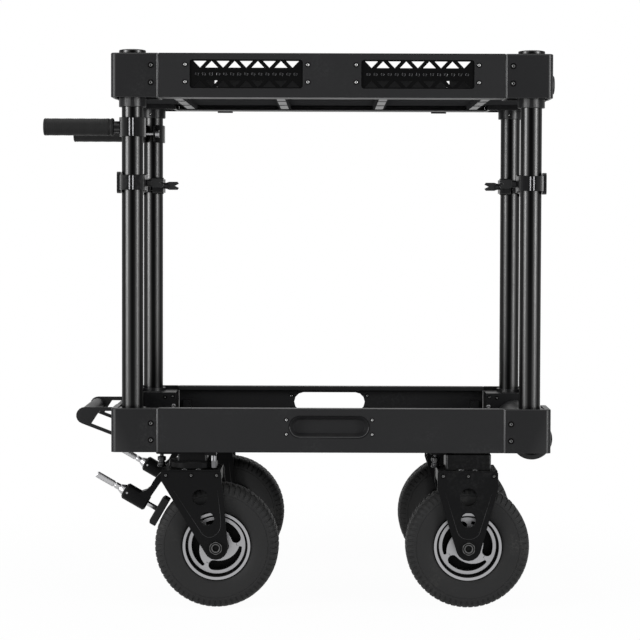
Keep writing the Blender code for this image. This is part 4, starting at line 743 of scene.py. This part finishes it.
def comma_edges(angle):
    """Inner and outer radius of the window at each angle: a band that swells along a sine.

    Beyond the middle of each end, the two radii follow the circle that rounds the end."""
    share = np.sin(np.clip((angle - NARROW_AT) / (FAT_AT - NARROW_AT), 0, 1) * np.pi / 2)
    outer = np.full_like(angle, WINDOW_R)
    inner = WINDOW_R - 2 * (NARROW_R + (FAT_R - NARROW_R) * share)
    for centre_at, size, beyond in ((NARROW_AT, NARROW_R, angle > NARROW_AT), (FAT_AT, FAT_R, angle < FAT_AT)):
        middle = WINDOW_R - size
        off = angle - centre_at
        half = np.sqrt(np.clip(size**2 - (middle * np.sin(off)) ** 2, 0, None))
        outer = np.where(beyond, middle * np.cos(off) + half, outer)
        inner = np.where(beyond, middle * np.cos(off) - half, inner)
    return inner, outer


def window_angles():
    """Angles of one third of the wheel, close together at the window's tips, and how many are in the window."""
    narrow_tip = NARROW_AT + math.asin(NARROW_R / (WINDOW_R - NARROW_R))
    fat_tip = FAT_AT - math.asin(FAT_R / (WINDOW_R - FAT_R))
    ease = (1 - np.cos(np.linspace(0, np.pi, WINDOW_STEPS))) / 2
    in_window = narrow_tip + (fat_tip - narrow_tip) * ease
    return in_window, np.linspace(fat_tip, narrow_tip - 2 * np.pi / 3, SOLID_STEPS)[1:-1]


def rim_surface(centre, side, turn):
    """Grid of a whole wheel centre: rows of (radius at each angle, depth), front face first, then the back.

    Side is the way that its machined face looks, and turn is its angle on the axle in degrees."""
    in_window, solid = window_angles()
    sector = np.concatenate([in_window, solid])
    third = np.arange(3)[:, None] * (-2 * np.pi / 3)
    angle = (sector[None] + third).reshape(-1)
    inner, outer = (np.tile(np.concatenate([edge, np.full(len(solid), edge[-1])]), 3)
                    for edge in comma_edges(in_window))
    steps = len(angle)
    front = [
        (0.0063, 0.0472), (0.0185, 0.0472), (0.0200, 0.0460), (0.0200, 0.0215), (0.0225, 0.0195),
        (inner - 0.0006, 0.0195), (inner, 0.0189), (outer, 0.0189), (outer + 0.0006, 0.0195),
        (0.0575, 0.0195), (0.0582, 0.0188), (0.0590, 0.0120), (0.0612, 0.0120), (0.0622, 0.0225),
        (0.0624, 0.0316), (0.0627, 0.0324), (0.0658, 0.0327), (0.0680, 0.0329), (0.0684, 0.0322),
    ]
    back = [
        (0.0684, -0.0322), (0.0680, -0.0329), (0.0640, -0.0326), (0.0622, -0.0080),
        (outer + 0.0006, -0.0080), (outer, -0.0074), (inner, -0.0074), (inner - 0.0006, -0.0080),
        (0.0200, -0.0080), (0.0200, -0.0460), (0.0185, -0.0472), (0.0063, -0.0472),
    ]
    front_in, front_out = 6, 7
    back_out, back_in = len(front) + 5, len(front) + 6
    rows = front + back
    radius = np.array([np.broadcast_to(r, steps) for r, y in rows])
    depth = np.array([np.full(steps, y) for r, y in rows])
    around = angle[None] + math.radians(turn)
    points = centre + np.stack([radius * np.cos(around), side * depth, radius * np.sin(around)], -1)
    quads, uv = grid_cells(len(rows), steps, wrap_rows=True)
    column = np.arange(steps)
    open_cell = (column % len(sector)) < len(in_window) - 1
    row_of = np.repeat(np.arange(len(rows)), steps)
    dropped = np.isin(row_of, (front_in, back_out)) & np.tile(open_cell, len(rows))
    spots = column[open_cell]
    after = (spots + 1) % steps
    walls = [np.stack([a * steps + spots, a * steps + after, b * steps + after, b * steps + spots], -1)
             for a, b in ((front_in, back_in), (front_out, back_out))]
    wall_uv = np.zeros((2 * len(spots), 4, 2))
    return points, np.concatenate([quads[~dropped]] + walls), np.concatenate([uv[~dropped], wall_uv])


RIM_ROWS = 31
TURNED_FACES = row_bands(RIM_ROWS, (4, 9.02), (14.98, 17.02))
SHADE_DISH = [(0.0203, -0.0084), (0.0612, -0.0084), (0.0612, -0.0102), (0.0203, -0.0102)]
SILVER = finish("turned_wheel_centre", grey(0.006, 0.0002), grey(0.02), 0.0, 0.34, bump=0.10, rubs=0.3,
                dust=0.02, lines=(2.0, 420.0), bands=TURNED_FACES, bright=grey(0.36, 0.01))
for place, end, face in PLACES:
    surface = rim_surface(wheel_centre(place), face, RIM_TURN[end])
    made = build_piece(f"wheel_centre_{place}", [surface], SILVER, f"wheel_{place}",
                       [f"rim_{place}"], 35)
    dish = turned(SHADE_DISH, wheel_centre(place), (0, face, 0), 96, closed=True)
    build_piece(f"wheel_shade_dish_{place}", [dish], STEEL, f"wheel_{place}")
print("wheel centre quads", len(made.data.polygons))

# %% [markdown]
# The grips are finely ribbed rubber sleeves with a flange at the clamp and a lined collar at the far end,
# and the roller is a plain plastic drum whose ends are dished round the axle. Both are turned. The ribs
# are real waves of the profile, since a bump would leave the sleeve's outline smooth.

# %% Grips and roller
RIBS, RIB_PITCH, SWELL_PITCH = 90, 0.0045, 0.026
FLANGE = [(0.0093, 0.0), (0.0160, 0.0), (0.0179, 0.0018), (0.0179, 0.0050), (0.0165, 0.0062),
          (0.0165, 0.0085), (0.0174, 0.0098), (0.0174, 0.0135)]
# radius, and distance from the far end
COLLAR = [(0.0173, 0.0092), (0.0173, 0.0068), (0.0167, 0.0064), (0.0167, 0.0056), (0.0174, 0.0052),
          (0.0174, 0.0026), (0.0163, 0.0006), (0.0120, 0.0), (0.0, 0.0)]
for face in FACES:
    middle, low, high = box_middle(f"push_grip_{face}")
    length = high.x - low.x
    ribs = np.linspace(0.016, length - 0.012, RIBS)
    fine, swell = np.sin(ribs * 2 * np.pi / RIB_PITCH), np.cos(ribs * 2 * np.pi / SWELL_PITCH)
    sleeve = np.stack([0.0171 + 0.00016 * fine - 0.00012 * swell, ribs], -1)
    far_end = [(radius, length - back) for radius, back in COLLAR]
    profile = np.vstack([eased(FLANGE, 0.0008, 2), sleeve, eased(far_end, 0.0008, 3)])
    surface = turned(profile, (high.x, middle.y, middle.z), (-1, 0, 0))
    build_piece(f"ribbed_grip_{face}", [surface], GRIP, f"push_handle_{face}",
                [f"push_grip_{face}"], 60)

middle, low, high = box_middle("loading_roller")
ROLLER_R = (high.z - low.z) / 2 - 0.0003
STUB_R, STUB_OUT = 0.006, 0.0095
DISH_DEPTH, DISH_FROM, DISH_TO = 0.004, 0.028, 0.032
half = (high.y - low.y) / 2
drum = half - STUB_OUT
stub = [(0.0, half), (STUB_R, half), (STUB_R, drum - DISH_DEPTH)]
side = stub + [(DISH_FROM, drum - DISH_DEPTH), (DISH_TO, drum), (ROLLER_R, drum)]
profile = eased(side + [(r, -y) for r, y in side[::-1]], 0.0018, 4)
surface = turned(profile, middle, TO_BACK, 96)
build_piece("roller_drum", [surface], MOULDED, "loading_roller", ["loading_roller"], 40)
print("grip length", round(length, 3), "roller length", round(2 * half, 3))

# %% [markdown]
# Knobs that fingers turn are knurled: two sets of slanted grooves cross and leave small diamonds. A
# picture of a knurl would look flat from the side, so the grooves are cut into the turned surface: each
# set is a triangle wave that leans one way round the knob, and the deeper of the two wins.

# %% Brake screws
KNURL_STEPS, KNURLS = 72, 18
KNOB_LOW, KNOB_HIGH = 0.2285, 0.2818
ROD_R = 0.0050
BRAKE_LINE = np.array([-math.cos(math.radians(30)), 0.0, math.sin(math.radians(30))])


def knurled(radius, heights, steps, count, depth, pitch):
    """Rows of a diamond knurl: the radius less a depth times the larger of two triangle waves, cubed."""
    angle = np.arange(steps) / steps
    first = np.abs((angle[None] * count + heights[:, None] / pitch) % 1 - 0.5) * 2
    second = np.abs((angle[None] * count - heights[:, None] / pitch) % 1 - 0.5) * 2
    return list(zip(radius - depth * np.maximum(first, second) ** 3, heights))


ROD = [(0.0, 0.1395), (0.0046, 0.1395), (ROD_R, 0.1400), (ROD_R, KNOB_LOW)]
NECK = [(radius, KNOB_LOW + rise) for radius, rise in
        ((0.0062, 0.0), (0.0064, 0.001), (0.0064, 0.009), (ROD_R, 0.0105), (ROD_R, 0.0125))]
KNOB_ROWS = np.linspace(KNOB_LOW + 0.0135, KNOB_HIGH - 0.0014, 44)
KNOB = knurled(0.0065, KNOB_ROWS, KNURL_STEPS, KNURLS, 0.0007, 0.0042)
TIP = [(0.0052, KNOB_HIGH), (0.0, KNOB_HIGH)]
CONE = [(0.0055, 0.2171), (0.0113, 0.2171), (0.0112, 0.2185), (0.0072, 0.2278), (0.0055, 0.2278)]
BUSHING = eased(CONE, 0.0006, 3)
for face in FACES:
    hub = wheel_centre(f"left_{face}")
    surface = turned(ROD + NECK + KNOB + TIP, hub, BRAKE_LINE, KNURL_STEPS)
    build_piece(f"knurled_screw_{face}", [surface], ZINC, f"brake_screw_left_{face}",
                [f"brake_screw_left_{face}"], 50)
    bushing = turned(np.vstack([BUSHING, BUSHING[:1]]), hub, BRAKE_LINE, 48)
    build_piece(f"brake_bushing_{face}", [bushing], ZINC, f"swivel_left_{face}")
print("knurled rows", len(KNOB))

# %% [markdown]
# Each caster head has a small spring plunger with two knurled rings. It is turned like the brake screw,
# from its foot up, so that it stays on its CAD solid's place.

# %% Release plungers
PLUNGER_STEPS, PLUNGER_KNURLS, PLUNGER_PITCH = 48, 16, 0.003
for place in CORNERS:
    middle, low, high = box_middle(f"release_plunger_{place}")
    foot = low.z
    lower_rows = np.linspace(foot + 0.0035, foot + 0.0085, 8)
    upper_rows = np.linspace(foot + 0.0125, foot + 0.0195, 10)
    profile = [
        (0.0, foot), (0.0080, foot), (0.0089, foot + 0.0010), (0.0089, foot + 0.0028), (0.0070, foot + 0.0030),
        *knurled(0.0078, lower_rows, PLUNGER_STEPS, PLUNGER_KNURLS, 0.0006, PLUNGER_PITCH),
        (0.0062, foot + 0.0090), (0.0062, foot + 0.0120),
        *knurled(0.0088, upper_rows, PLUNGER_STEPS, PLUNGER_KNURLS, 0.0008, PLUNGER_PITCH),
        (0.0075, foot + 0.0208), (0.0040, foot + 0.0210), (0.0040, high.z), (0.0, high.z),
    ]
    surface = turned(profile, (middle.x, middle.y, 0), UP, PLUNGER_STEPS)
    build_piece(f"plunger_knob_{place}", [surface], DARK, f"release_plunger_{place}",
                [f"release_plunger_{place}"], 45)
print("plungers", len(PLACES))

# %% [markdown]
# The cart is held together by socket-head screws. One screw is a small turned grid whose inner rows are
# a hexagon, the socket. Objects could be instanced, but the same grid repeated at every place in a list
# makes a row of screws one mesh. Only the ring round the socket is bright: a painted glint on the black head.

# %% Screws
SCREW_STEPS, SCREW_ROWS, SCREW_SEAT = 24, 8, 0.0012


def hexagon(steps, across):
    """Radius of a hexagon at each step round: half its width over the cosine of the angle from a flat."""
    angle = np.linspace(0, 2 * np.pi, steps, endpoint=False)
    return across / 2 / np.cos((angle + np.pi / 6) % (np.pi / 3) - np.pi / 6)


def screw_surface(places, direction, head):
    """Cap screws at the places; a head is its radius, its height and the width of its hexagon socket."""
    radius, height, socket = head
    places = np.asarray(places, float).reshape(-1, 3)
    six = hexagon(SCREW_STEPS, socket)
    rows = [
        (0.0, height * 0.2), (six * 0.5, height * 0.2), (six, height * 0.97), (six + 0.0003, height),
        (radius * 0.86, height), (radius * 0.96, height * 0.94), (radius, height * 0.80), (radius, -SCREW_SEAT),
    ]
    one, quads, uv = turned(rows, (0, 0, 0), direction, SCREW_STEPS)
    points = (places[:, None, :] + one.reshape(1, -1, 3)).reshape(-1, 3)
    first = np.arange(len(places))[:, None, None] * (SCREW_ROWS * SCREW_STEPS)
    return points, (first + quads[None]).reshape(-1, 4), np.tile(uv, (len(places), 1, 1))


def screw_finish(name, level):
    """Blackened screw whose socket ring has a bright metal colour of the given level: a painted glint."""
    return finish(name, grey(0.0015), grey(0.008), 0.0, 0.30, 700.0, 0.05, 0.5, 0.0, 0.04,
                  bands=row_bands(SCREW_ROWS, (1.0, 2.5)), bright=grey(level))


# The socket rings paint the screws' glints, and the corner screws' glints are painted dimmer.
SCREW = screw_finish("screw_with_painted_glint", 0.34)
DIM_GLINT_SCREW = screw_finish("screw_with_dim_painted_glint", 0.11)


def screws(name, groups, coat=SCREW, body="cart"):
    """Screws on one body as one piece, from groups of (places, direction, head)."""
    build_piece(name, [screw_surface(*group) for group in groups], coat, body)


print("screw finishes", SCREW.name, DIM_GLINT_SCREW.name)

# %% [markdown]
# The screws sit in pairs at the windows, the castings, the hand-holds and the sleeves of the back posts.
# Their places are written from the shelves' middle, as they would be on the maker's drawing.

# %% Screws on the shelves
RAIL_FACE = 0.2685
CORNER_FACE = 0.2700
END_FACE = 0.4400
SLOT_FACE = 0.2655
INNER_FACE = 0.1750
# radius of the head, its height, width of its socket
WINDOW_HEAD = (0.0048, 0.0016, 0.0050)
CORNER_HEAD = (0.0060, 0.0014, 0.0056)
HOLD_HEAD = (0.0040, 0.0012, 0.0040)
SLEEVE_HEAD = (0.0032, 0.0010, 0.0030)
INNER_HEAD = (0.0040, 0.0016, 0.0036)
CORNER_HEIGHTS = (0.3406, 0.3744, 1.0530, 1.0874)
HOLD_SPOTS = [(x, z) for x in (-0.0893, 0.0823) for z in (0.353, 0.382)]
HOLD_FACES = ((-RAIL_FACE, TO_FRONT), (SLOT_FACE, TO_FRONT), (RAIL_FACE, TO_BACK))
window_places = [at(x, -RAIL_FACE, z) for x in (-0.292, -0.048, 0.048, 0.292) for z in (1.0546, 1.0890)]
screws("window_screws", [(window_places, TO_FRONT, WINDOW_HEAD)])
corner_groups = [([at(x, face * CORNER_FACE, z) for x in (-0.360, 0.360) for z in CORNER_HEIGHTS],
                  (0, face, 0), CORNER_HEAD) for face in (-1, 1)]
corner_groups += [([at(end * END_FACE, y, z) for y in (-0.190, 0.190) for z in CORNER_HEIGHTS],
                   (end, 0, 0), CORNER_HEAD) for end in (-1, 1)]
screws("corner_screws", corner_groups, DIM_GLINT_SCREW)
hold_groups = [([at(x, y, z) for x, z in HOLD_SPOTS], direction, HOLD_HEAD) for y, direction in HOLD_FACES]
screws("hand_hold_screws", hold_groups)
sleeve_places = [at(end * POST_X - 0.005, POST_Y - 0.0264, 1.0140) for end in (-1, 1)]
screws("sleeve_screws", [(sleeve_places, TO_FRONT, SLEEVE_HEAD)])
inner_places = [at(end * x, INNER_FACE, z) for end in (-1, 1) for x, z in ((0.352, 0.388), (0.369, 0.386))]
screws("inner_corner_screws", [(inner_places, TO_FRONT, INNER_HEAD)])
print("screws at the castings", sum(len(places) for places, direction, head in corner_groups))

# %% [markdown]
# Each fork plate is bolted to its block by three screws, and the axle ends in a hexagon nut with a round
# socket. The nut is a turned grid too: some of its rows are hexagons and the others circles, so the flats
# blend into the round collar with no seam.

# %% Fork screws and axle nuts
NUT_STEPS, NUT_ROWS = 72, 13
FORK_HEAD = (0.0044, 0.0016, 0.0040)
FORK_SCREW_Z = 0.2705
FORK_SCREW_STEPS = (-0.0515, -0.001, 0.050)


def nut_surface(centre, direction):
    """Washer, hexagon body, chamfered round collar and socket, from the outside to the middle."""
    six = hexagon(NUT_STEPS, 0.0240)
    rows = [
        (0.0150, -0.0004), (0.0150, 0.0009), (0.0147, 0.0012), (six, 0.0012), (six, 0.0042),
        (np.minimum(six, 0.0128), 0.0054), (0.0112, 0.0055), (0.0088, 0.0058), (0.0072, 0.0058),
        (0.0066, 0.0052), (hexagon(NUT_STEPS, 0.0105), 0.0048), (hexagon(NUT_STEPS, 0.0080), 0.0016),
        (0.0, 0.0016),
    ]
    return turned(rows, centre, direction, NUT_STEPS)


# The nut is dark. Its chamfer and the ring round its socket take a brighter metal colour as painted highlights.
NUT = finish("dark_nut_painted_highlights", grey(0.004), grey(0.02), 0.0, 0.30, 700.0, 0.05, 0.5, 0.0, 0.08,
             bands=row_bands(NUT_ROWS, (5.0, 6.0), (7.0, 8.5)), bright=grey(0.11))
for place, end, face in PLACES:
    hub = wheel_centre(place)
    groups, nuts = [], []
    for way in (-1, 1):
        plate_y = hub[1] + way * FORK_FACE
        spots = [(CASTER_X[end] + step, plate_y, FORK_SCREW_Z) for step in FORK_SCREW_STEPS]
        groups.append((spots, (0, way, 0), FORK_HEAD))
        nuts.append(nut_surface((hub[0], plate_y, hub[2]), (0, way, 0)))
    screws(f"fork_screws_{place}", groups, body=fork_body(place))
    build_piece(f"axle_nuts_{place}", nuts, NUT, fork_body(place))
print("axle nuts", 2 * len(PLACES))

# %% [markdown]
# A shallow panel is milled into each fork plate, and its rim catches the light as a thin U whose sides lean
# like the plate's own. Cutting the panel would barely show at this size, so only the rim's highlight is
# painted, by a fine half-sunk bead in a light coat that is carried along the U.

# %% Milled lines on the forks
MILLED_R = 0.0004
# points in millimetres: across from the caster's middle, and up from the floor
SWIVEL_PANEL = ((-38, 243), (22, 152), (30, 147), (38.5, 145.5), (48, 150.5), (55, 158.5), (58.5, 169),
                (57.5, 190), (51, 246))
FIXED_PANEL = ((-47, 238), (-21, 153), (-12, 145.5), (0, 143), (12, 145.5), (21, 153), (47, 238))
PANELS = {-1: SWIVEL_PANEL, 1: FIXED_PANEL}


def carried_bead(path, radius, around=8):
    """Tube along a path: each point gets a circle in the plane of Y and the path's side vector.

    The circles shrink at both ends, which closes the tube."""
    path = np.asarray(path, float)
    tangent = np.gradient(path, axis=0)
    tangent /= np.linalg.norm(tangent, axis=1, keepdims=True)
    normal = np.array(TO_BACK, float)
    across = np.cross(tangent, normal)
    angle = np.linspace(0, 2 * np.pi, around, endpoint=False)
    ends = np.ones(len(path))
    ends[[0, -1]] = 0.05
    circle = np.cos(angle)[None, :, None] * across[:, None] + np.sin(angle)[None, :, None] * normal
    points = path[:, None] + radius * ends[:, None, None] * circle
    return (points, *grid_cells(len(path), around))


for place, end, face in PLACES:
    outline = eased(np.array(PANELS[end]) / 1000, 0.006, 5) + (CASTER_X[end], 0)
    beads = []
    for way in (-1, 1):
        level = np.full(len(outline), wheel_centre(place)[1] + way * FORK_FACE)
        beads.append(carried_bead(np.stack([outline[:, 0], level, outline[:, 1]], -1), MILLED_R))
    build_piece(f"milled_rim_highlights_{place}", beads, HIGHLIGHT_LINE, fork_body(place), sharp=60)
print("milled lines on", 2 * len(PLACES), "plates")

# %% [markdown]
# Behind each top window, the truss plate has a row of punched holes. From the front, the light picks out
# the rim of each hole in two short arcs, which the same kind of bead paints as bright highlights.

# %% Rims of the truss plate's holes
TRUSS_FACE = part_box("top_truss_plate")[0].y
WINDOW_MIDDLES = (-0.1705, 0.1705)
HOLES, HOLE_PITCH, HOLE_Z, HOLE_RIM_R = 15, 0.014, 1.0705, 0.0033
ARC_STARTS, ARC = (-70, 120), 110
rings = []
for window in WINDOW_MIDDLES:
    for hole in range(HOLES):
        spot = np.array(at(window + (hole - HOLES // 2) * HOLE_PITCH, TRUSS_FACE, HOLE_Z))
        for start in ARC_STARTS:
            turn = np.radians(np.linspace(start, start + ARC, 9))
            arc = spot + HOLE_RIM_R * np.stack([np.cos(turn), 0 * turn, np.sin(turn)], -1)
            rings.append(carried_bead(arc, 0.0002, 6))
build_piece("truss_hole_rims", rings, GLINT_METAL, sharp=60)
print("arcs", len(rings))

# %% [markdown]
# Under the shelf, each caster head is held by domed bolts, and a chrome pin stands beside each swivel
# head. Both are turned about an upright axis.

# %% Head bolts and chrome pins
DOME = [(0.0, 0.0036), (0.0022, 0.0034), (0.0048, 0.0026), (0.0068, 0.0010), (0.0074, 0.0), (0.0074, -0.0006)]
BOLT_STEPS, BOLT_OUT, BOLT_Z = (-0.015, 0.013), 0.0415, 0.2818
PIN = [(0.0, 0.2838), (0.0058, 0.2838), (0.0058, 0.3095), (0.0, 0.3095)]
PIN_STEP, PIN_OUT = 0.043, 0.040
for place, end, face in PLACES:
    bolt_places = [(CASTER_X[end] + step, face * (CASTER_Y + BOLT_OUT), BOLT_Z) for step in BOLT_STEPS]
    parts = [turned(eased(DOME, 0.0006, 2), spot, UP, 32) for spot in bolt_places]
    build_piece(f"head_bolts_{place}", parts, DARK, sharp=50)
    if end < 0:
        spot = (CASTER_X[end] + PIN_STEP, face * (CASTER_Y + PIN_OUT), 0.0)
        build_piece(f"chrome_pin_{place}", [turned(eased(PIN, 0.0012, 3), spot, UP, 40)], CHROME,
                    sharp=50)
print("head bolts", len(parts) * len(PLACES))

# %% [markdown]
# The hinges of the collars and of the push handles' clamps show as a pair of bright knuckles, and the
# corners of the bearing housings as light lines. Each is an upright rod, half sunk into the solid behind it,
# in a bright coat that paints the highlight along the knuckle or the rounded corner.

# %% Hinge knuckles and housing edges
def upright_rod(x, y, low, high, radius):
    """Rod with eased ends: its half section turned about an upright axis through x and y."""
    profile = eased([(0.0, low), (radius, low), (radius, high), (0.0, high)], 0.0005, 2)
    return turned(profile, (x, y, 0), UP, 20)


def rod_pair(x, y, spread, low, high, radius):
    """Two upright rods, one a spread to the left of x and one to the right."""
    return [upright_rod(x + way * spread, y, low, high, radius) for way in (-1, 1)]


# how far out it stands, spread, lowest and highest point, radius
ROUND_HOUSING = (0.2545, 0.0275, 0.2975, 0.3110, 0.0019)
SQUARE_HOUSING = (0.2630, 0.0430, 0.2840, 0.3110, 0.0012)
HOUSINGS = {-1: [ROUND_HOUSING], 1: [ROUND_HOUSING, SQUARE_HOUSING]}
KNUCKLE_SPREAD, KNUCKLE_R = 0.0035, 0.0013
COLLAR_HINGE_OUT, COLLAR_HINGE_LOW, COLLAR_HINGE_HIGH = 0.0275, 0.8408, 0.8692
PUSH_HINGE_OUT, PUSH_HINGE_HALF = 0.0265, 0.018
for place, end, face in PLACES:
    parts = []
    for out, *sizes in HOUSINGS[end]:
        parts += rod_pair(CASTER_X[end], face * out, *sizes)
    build_piece(f"housing_edge_highlights_{place}", parts, HIGHLIGHT_LINE, sharp=50)
for place, end, face in PLACES:
    parts = rod_pair(end * POST_X + MIDDLE, face * (POST_Y + COLLAR_HINGE_OUT), KNUCKLE_SPREAD,
                     COLLAR_HINGE_LOW, COLLAR_HINGE_HIGH, KNUCKLE_R)
    build_piece(f"collar_knuckles_{place}", parts, GLINT_METAL, f"collar_{place}", sharp=50)
for place, face in FACES.items():
    rise = box_middle(f"push_grip_{place}")[0].z
    parts = rod_pair(MIDDLE - POST_X, face * (POST_Y + PUSH_HINGE_OUT), KNUCKLE_SPREAD, rise - PUSH_HINGE_HALF,
                     rise + PUSH_HINGE_HALF, KNUCKLE_R)
    build_piece(f"push_knuckles_{place}", parts, GLINT_METAL, f"push_handle_{place}", sharp=50)
print("hinge knuckles", 2 * (len(PLACES) + len(FACES)))

# %% [markdown]
# Where a casting meets a rail, its rounded edge shows as a thin lighter line from top to bottom. The CAD
# edge is too sharp for that, and a wider bevel would eat into the seam, so a half-sunk rod rounds it, and
# its lighter coat paints the edge's highlight.

# %% Rounded edges of the corner castings
EDGE_R, EDGE_SUNK, EDGE_SHORT = 0.0022, 0.0024, 0.0008
rods = []
for place, end, face in PLACES:
    for shelf in ("bottom", "top"):
        low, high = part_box(f"{shelf}_front_rail")
        near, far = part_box(f"{shelf}_corner_{place}")
        seam_x = far.x if end < 0 else near.x
        seam_y = far.y if face < 0 else near.y
        spots = [(seam_x + end * EDGE_R, face * (CORNER_FACE - EDGE_SUNK)),
                 (MIDDLE + end * (END_FACE - EDGE_SUNK), seam_y + face * EDGE_R)]
        rods += [upright_rod(x, y, low.z + EDGE_SHORT, high.z - EDGE_SHORT, EDGE_R) for x, y in spots]
build_piece("corner_edge_highlights", rods, HIGHLIGHT_EDGE, sharp=50)
print("rounded edges", len(rods))

# %% [markdown]
# The front hand-hold is a recess with a pressed rim. The rim shows as a dark line of shade all round and a
# lit edge along the lower half. Two beads follow the outline and paint them: the dark one the shadow,
# and the light one the highlight.

# %% Lines round the hand-hold
HOLD_X = MIDDLE - 0.0035
HOLD_HALF = 0.0585
HOLD_Z = rail_low.z + 0.0515
HOLD_STEPS = 60


def hold_line(radius, thick, start, stop):
    """Bead on the hand-hold's outline: two half circles joined by straight lines, between two angles."""
    turn = np.radians(np.linspace(start, stop, HOLD_STEPS))
    x = HOLD_X + HOLD_HALF * np.sign(np.cos(turn)) + radius * np.cos(turn)
    z = HOLD_Z + radius * np.sin(turn)
    return carried_bead(np.stack([x, np.full(HOLD_STEPS, -RAIL_FACE), z], -1), thick)


build_piece("hold_shadow_line", [hold_line(0.0219, 0.0009, -92, 266)], STEEL, sharp=60)
build_piece("hold_highlight_line", [hold_line(0.0203, 0.0006, 178, 362)], HIGHLIGHT_EDGE, sharp=60)
print("hand-hold middle", round(HOLD_Z, 4), "m up")

# %% [markdown]
# A small set screw holds each brake block. It sits on the block's front face, on the brake screw's line.

# %% Set screws of the brake blocks
BLOCK_R, BLOCK_ALONG = 0.0173, 0.2096
BLOCK_HEAD = (0.0021, 0.0008, 0.0024)
for face in FACES:
    spot = wheel_centre(f"left_{face}") + BRAKE_LINE * BLOCK_ALONG + (0, -BLOCK_R, 0)
    screws(f"block_screw_{face}", [([spot], TO_FRONT, BLOCK_HEAD)], ZINC, f"swivel_left_{face}")
print("set screws", len(FACES))

# %% [markdown]
# Under the top shelf, four cross bars run from front to back, and pale strips of bare aluminium show
# along them. Plain boxes would have knife edges, so each strip is a rounded rectangle carried along Y.
# The small plastic brackets inside the lower back rail are made the same way.

# %% Strips under the top shelf and rail brackets
def slab_surface(x, y, z, ease):
    """Closed slab: a rounded rectangle in X and Z carried along Y, whose end rows shrink to a point."""
    x0, x1 = x
    z0, z1 = z
    corners = np.array([(x0, (z0 + z1) / 2), (x0, z0), (x1, z0), (x1, z1), (x0, z1), (x0, (z0 + z1) / 2)])
    ring = eased(corners, ease, 3)[:-1]
    middle = np.array([[(x0 + x1) / 2, (z0 + z1) / 2]])
    stations = [(y[0], 0.0), (y[0], 1.0), (y[1], 1.0), (y[1], 0.0)]
    rows = [np.insert(middle + (ring - middle) * size, 1, where, axis=1) for where, size in stations]
    return (np.stack(rows), *grid_cells(len(rows), len(ring)))


BAR_PITCH, BAR_Z = 0.2087, 1.0273
STRIP_HALF = 0.0085
STRIP_LEVELS = (BAR_Z - 0.0012, BAR_Z + 0.0002)
STRIP_SPANS = ((-0.2108, -0.112), (-0.083, 0.037), (0.068, 0.197))
strips = []
for step in (-1.5, -0.5, 0.5, 1.5):
    x = step * BAR_PITCH + MIDDLE
    sides = (x - STRIP_HALF, x + STRIP_HALF)
    strips += [slab_surface(sides, span, STRIP_LEVELS, 0.0004) for span in STRIP_SPANS]
build_piece("underside_strips", strips, STRIP)

BRACKET_X, BRACKET_Y, BRACKET_Z = (0.316, 0.334), (0.2430, 0.2650), (0.3223, 0.3720)
BRACKET_HEAD = (0.0045, 0.0030, 0.0036)
bracket_spans = [sorted(end * x + MIDDLE for x in BRACKET_X) for end in (-1, 1)]
blocks = [slab_surface(span, BRACKET_Y, BRACKET_Z, 0.0015) for span in bracket_spans]
build_piece("rail_brackets", blocks, MOULDED)
bracket_places = [at(end * 0.3500, INNER_FACE, 0.3660) for end in (-1, 1)]
screws("bracket_screws", [(bracket_places, TO_FRONT, BRACKET_HEAD)], ZINC)
print("strips", len(strips), "brackets", len(blocks))
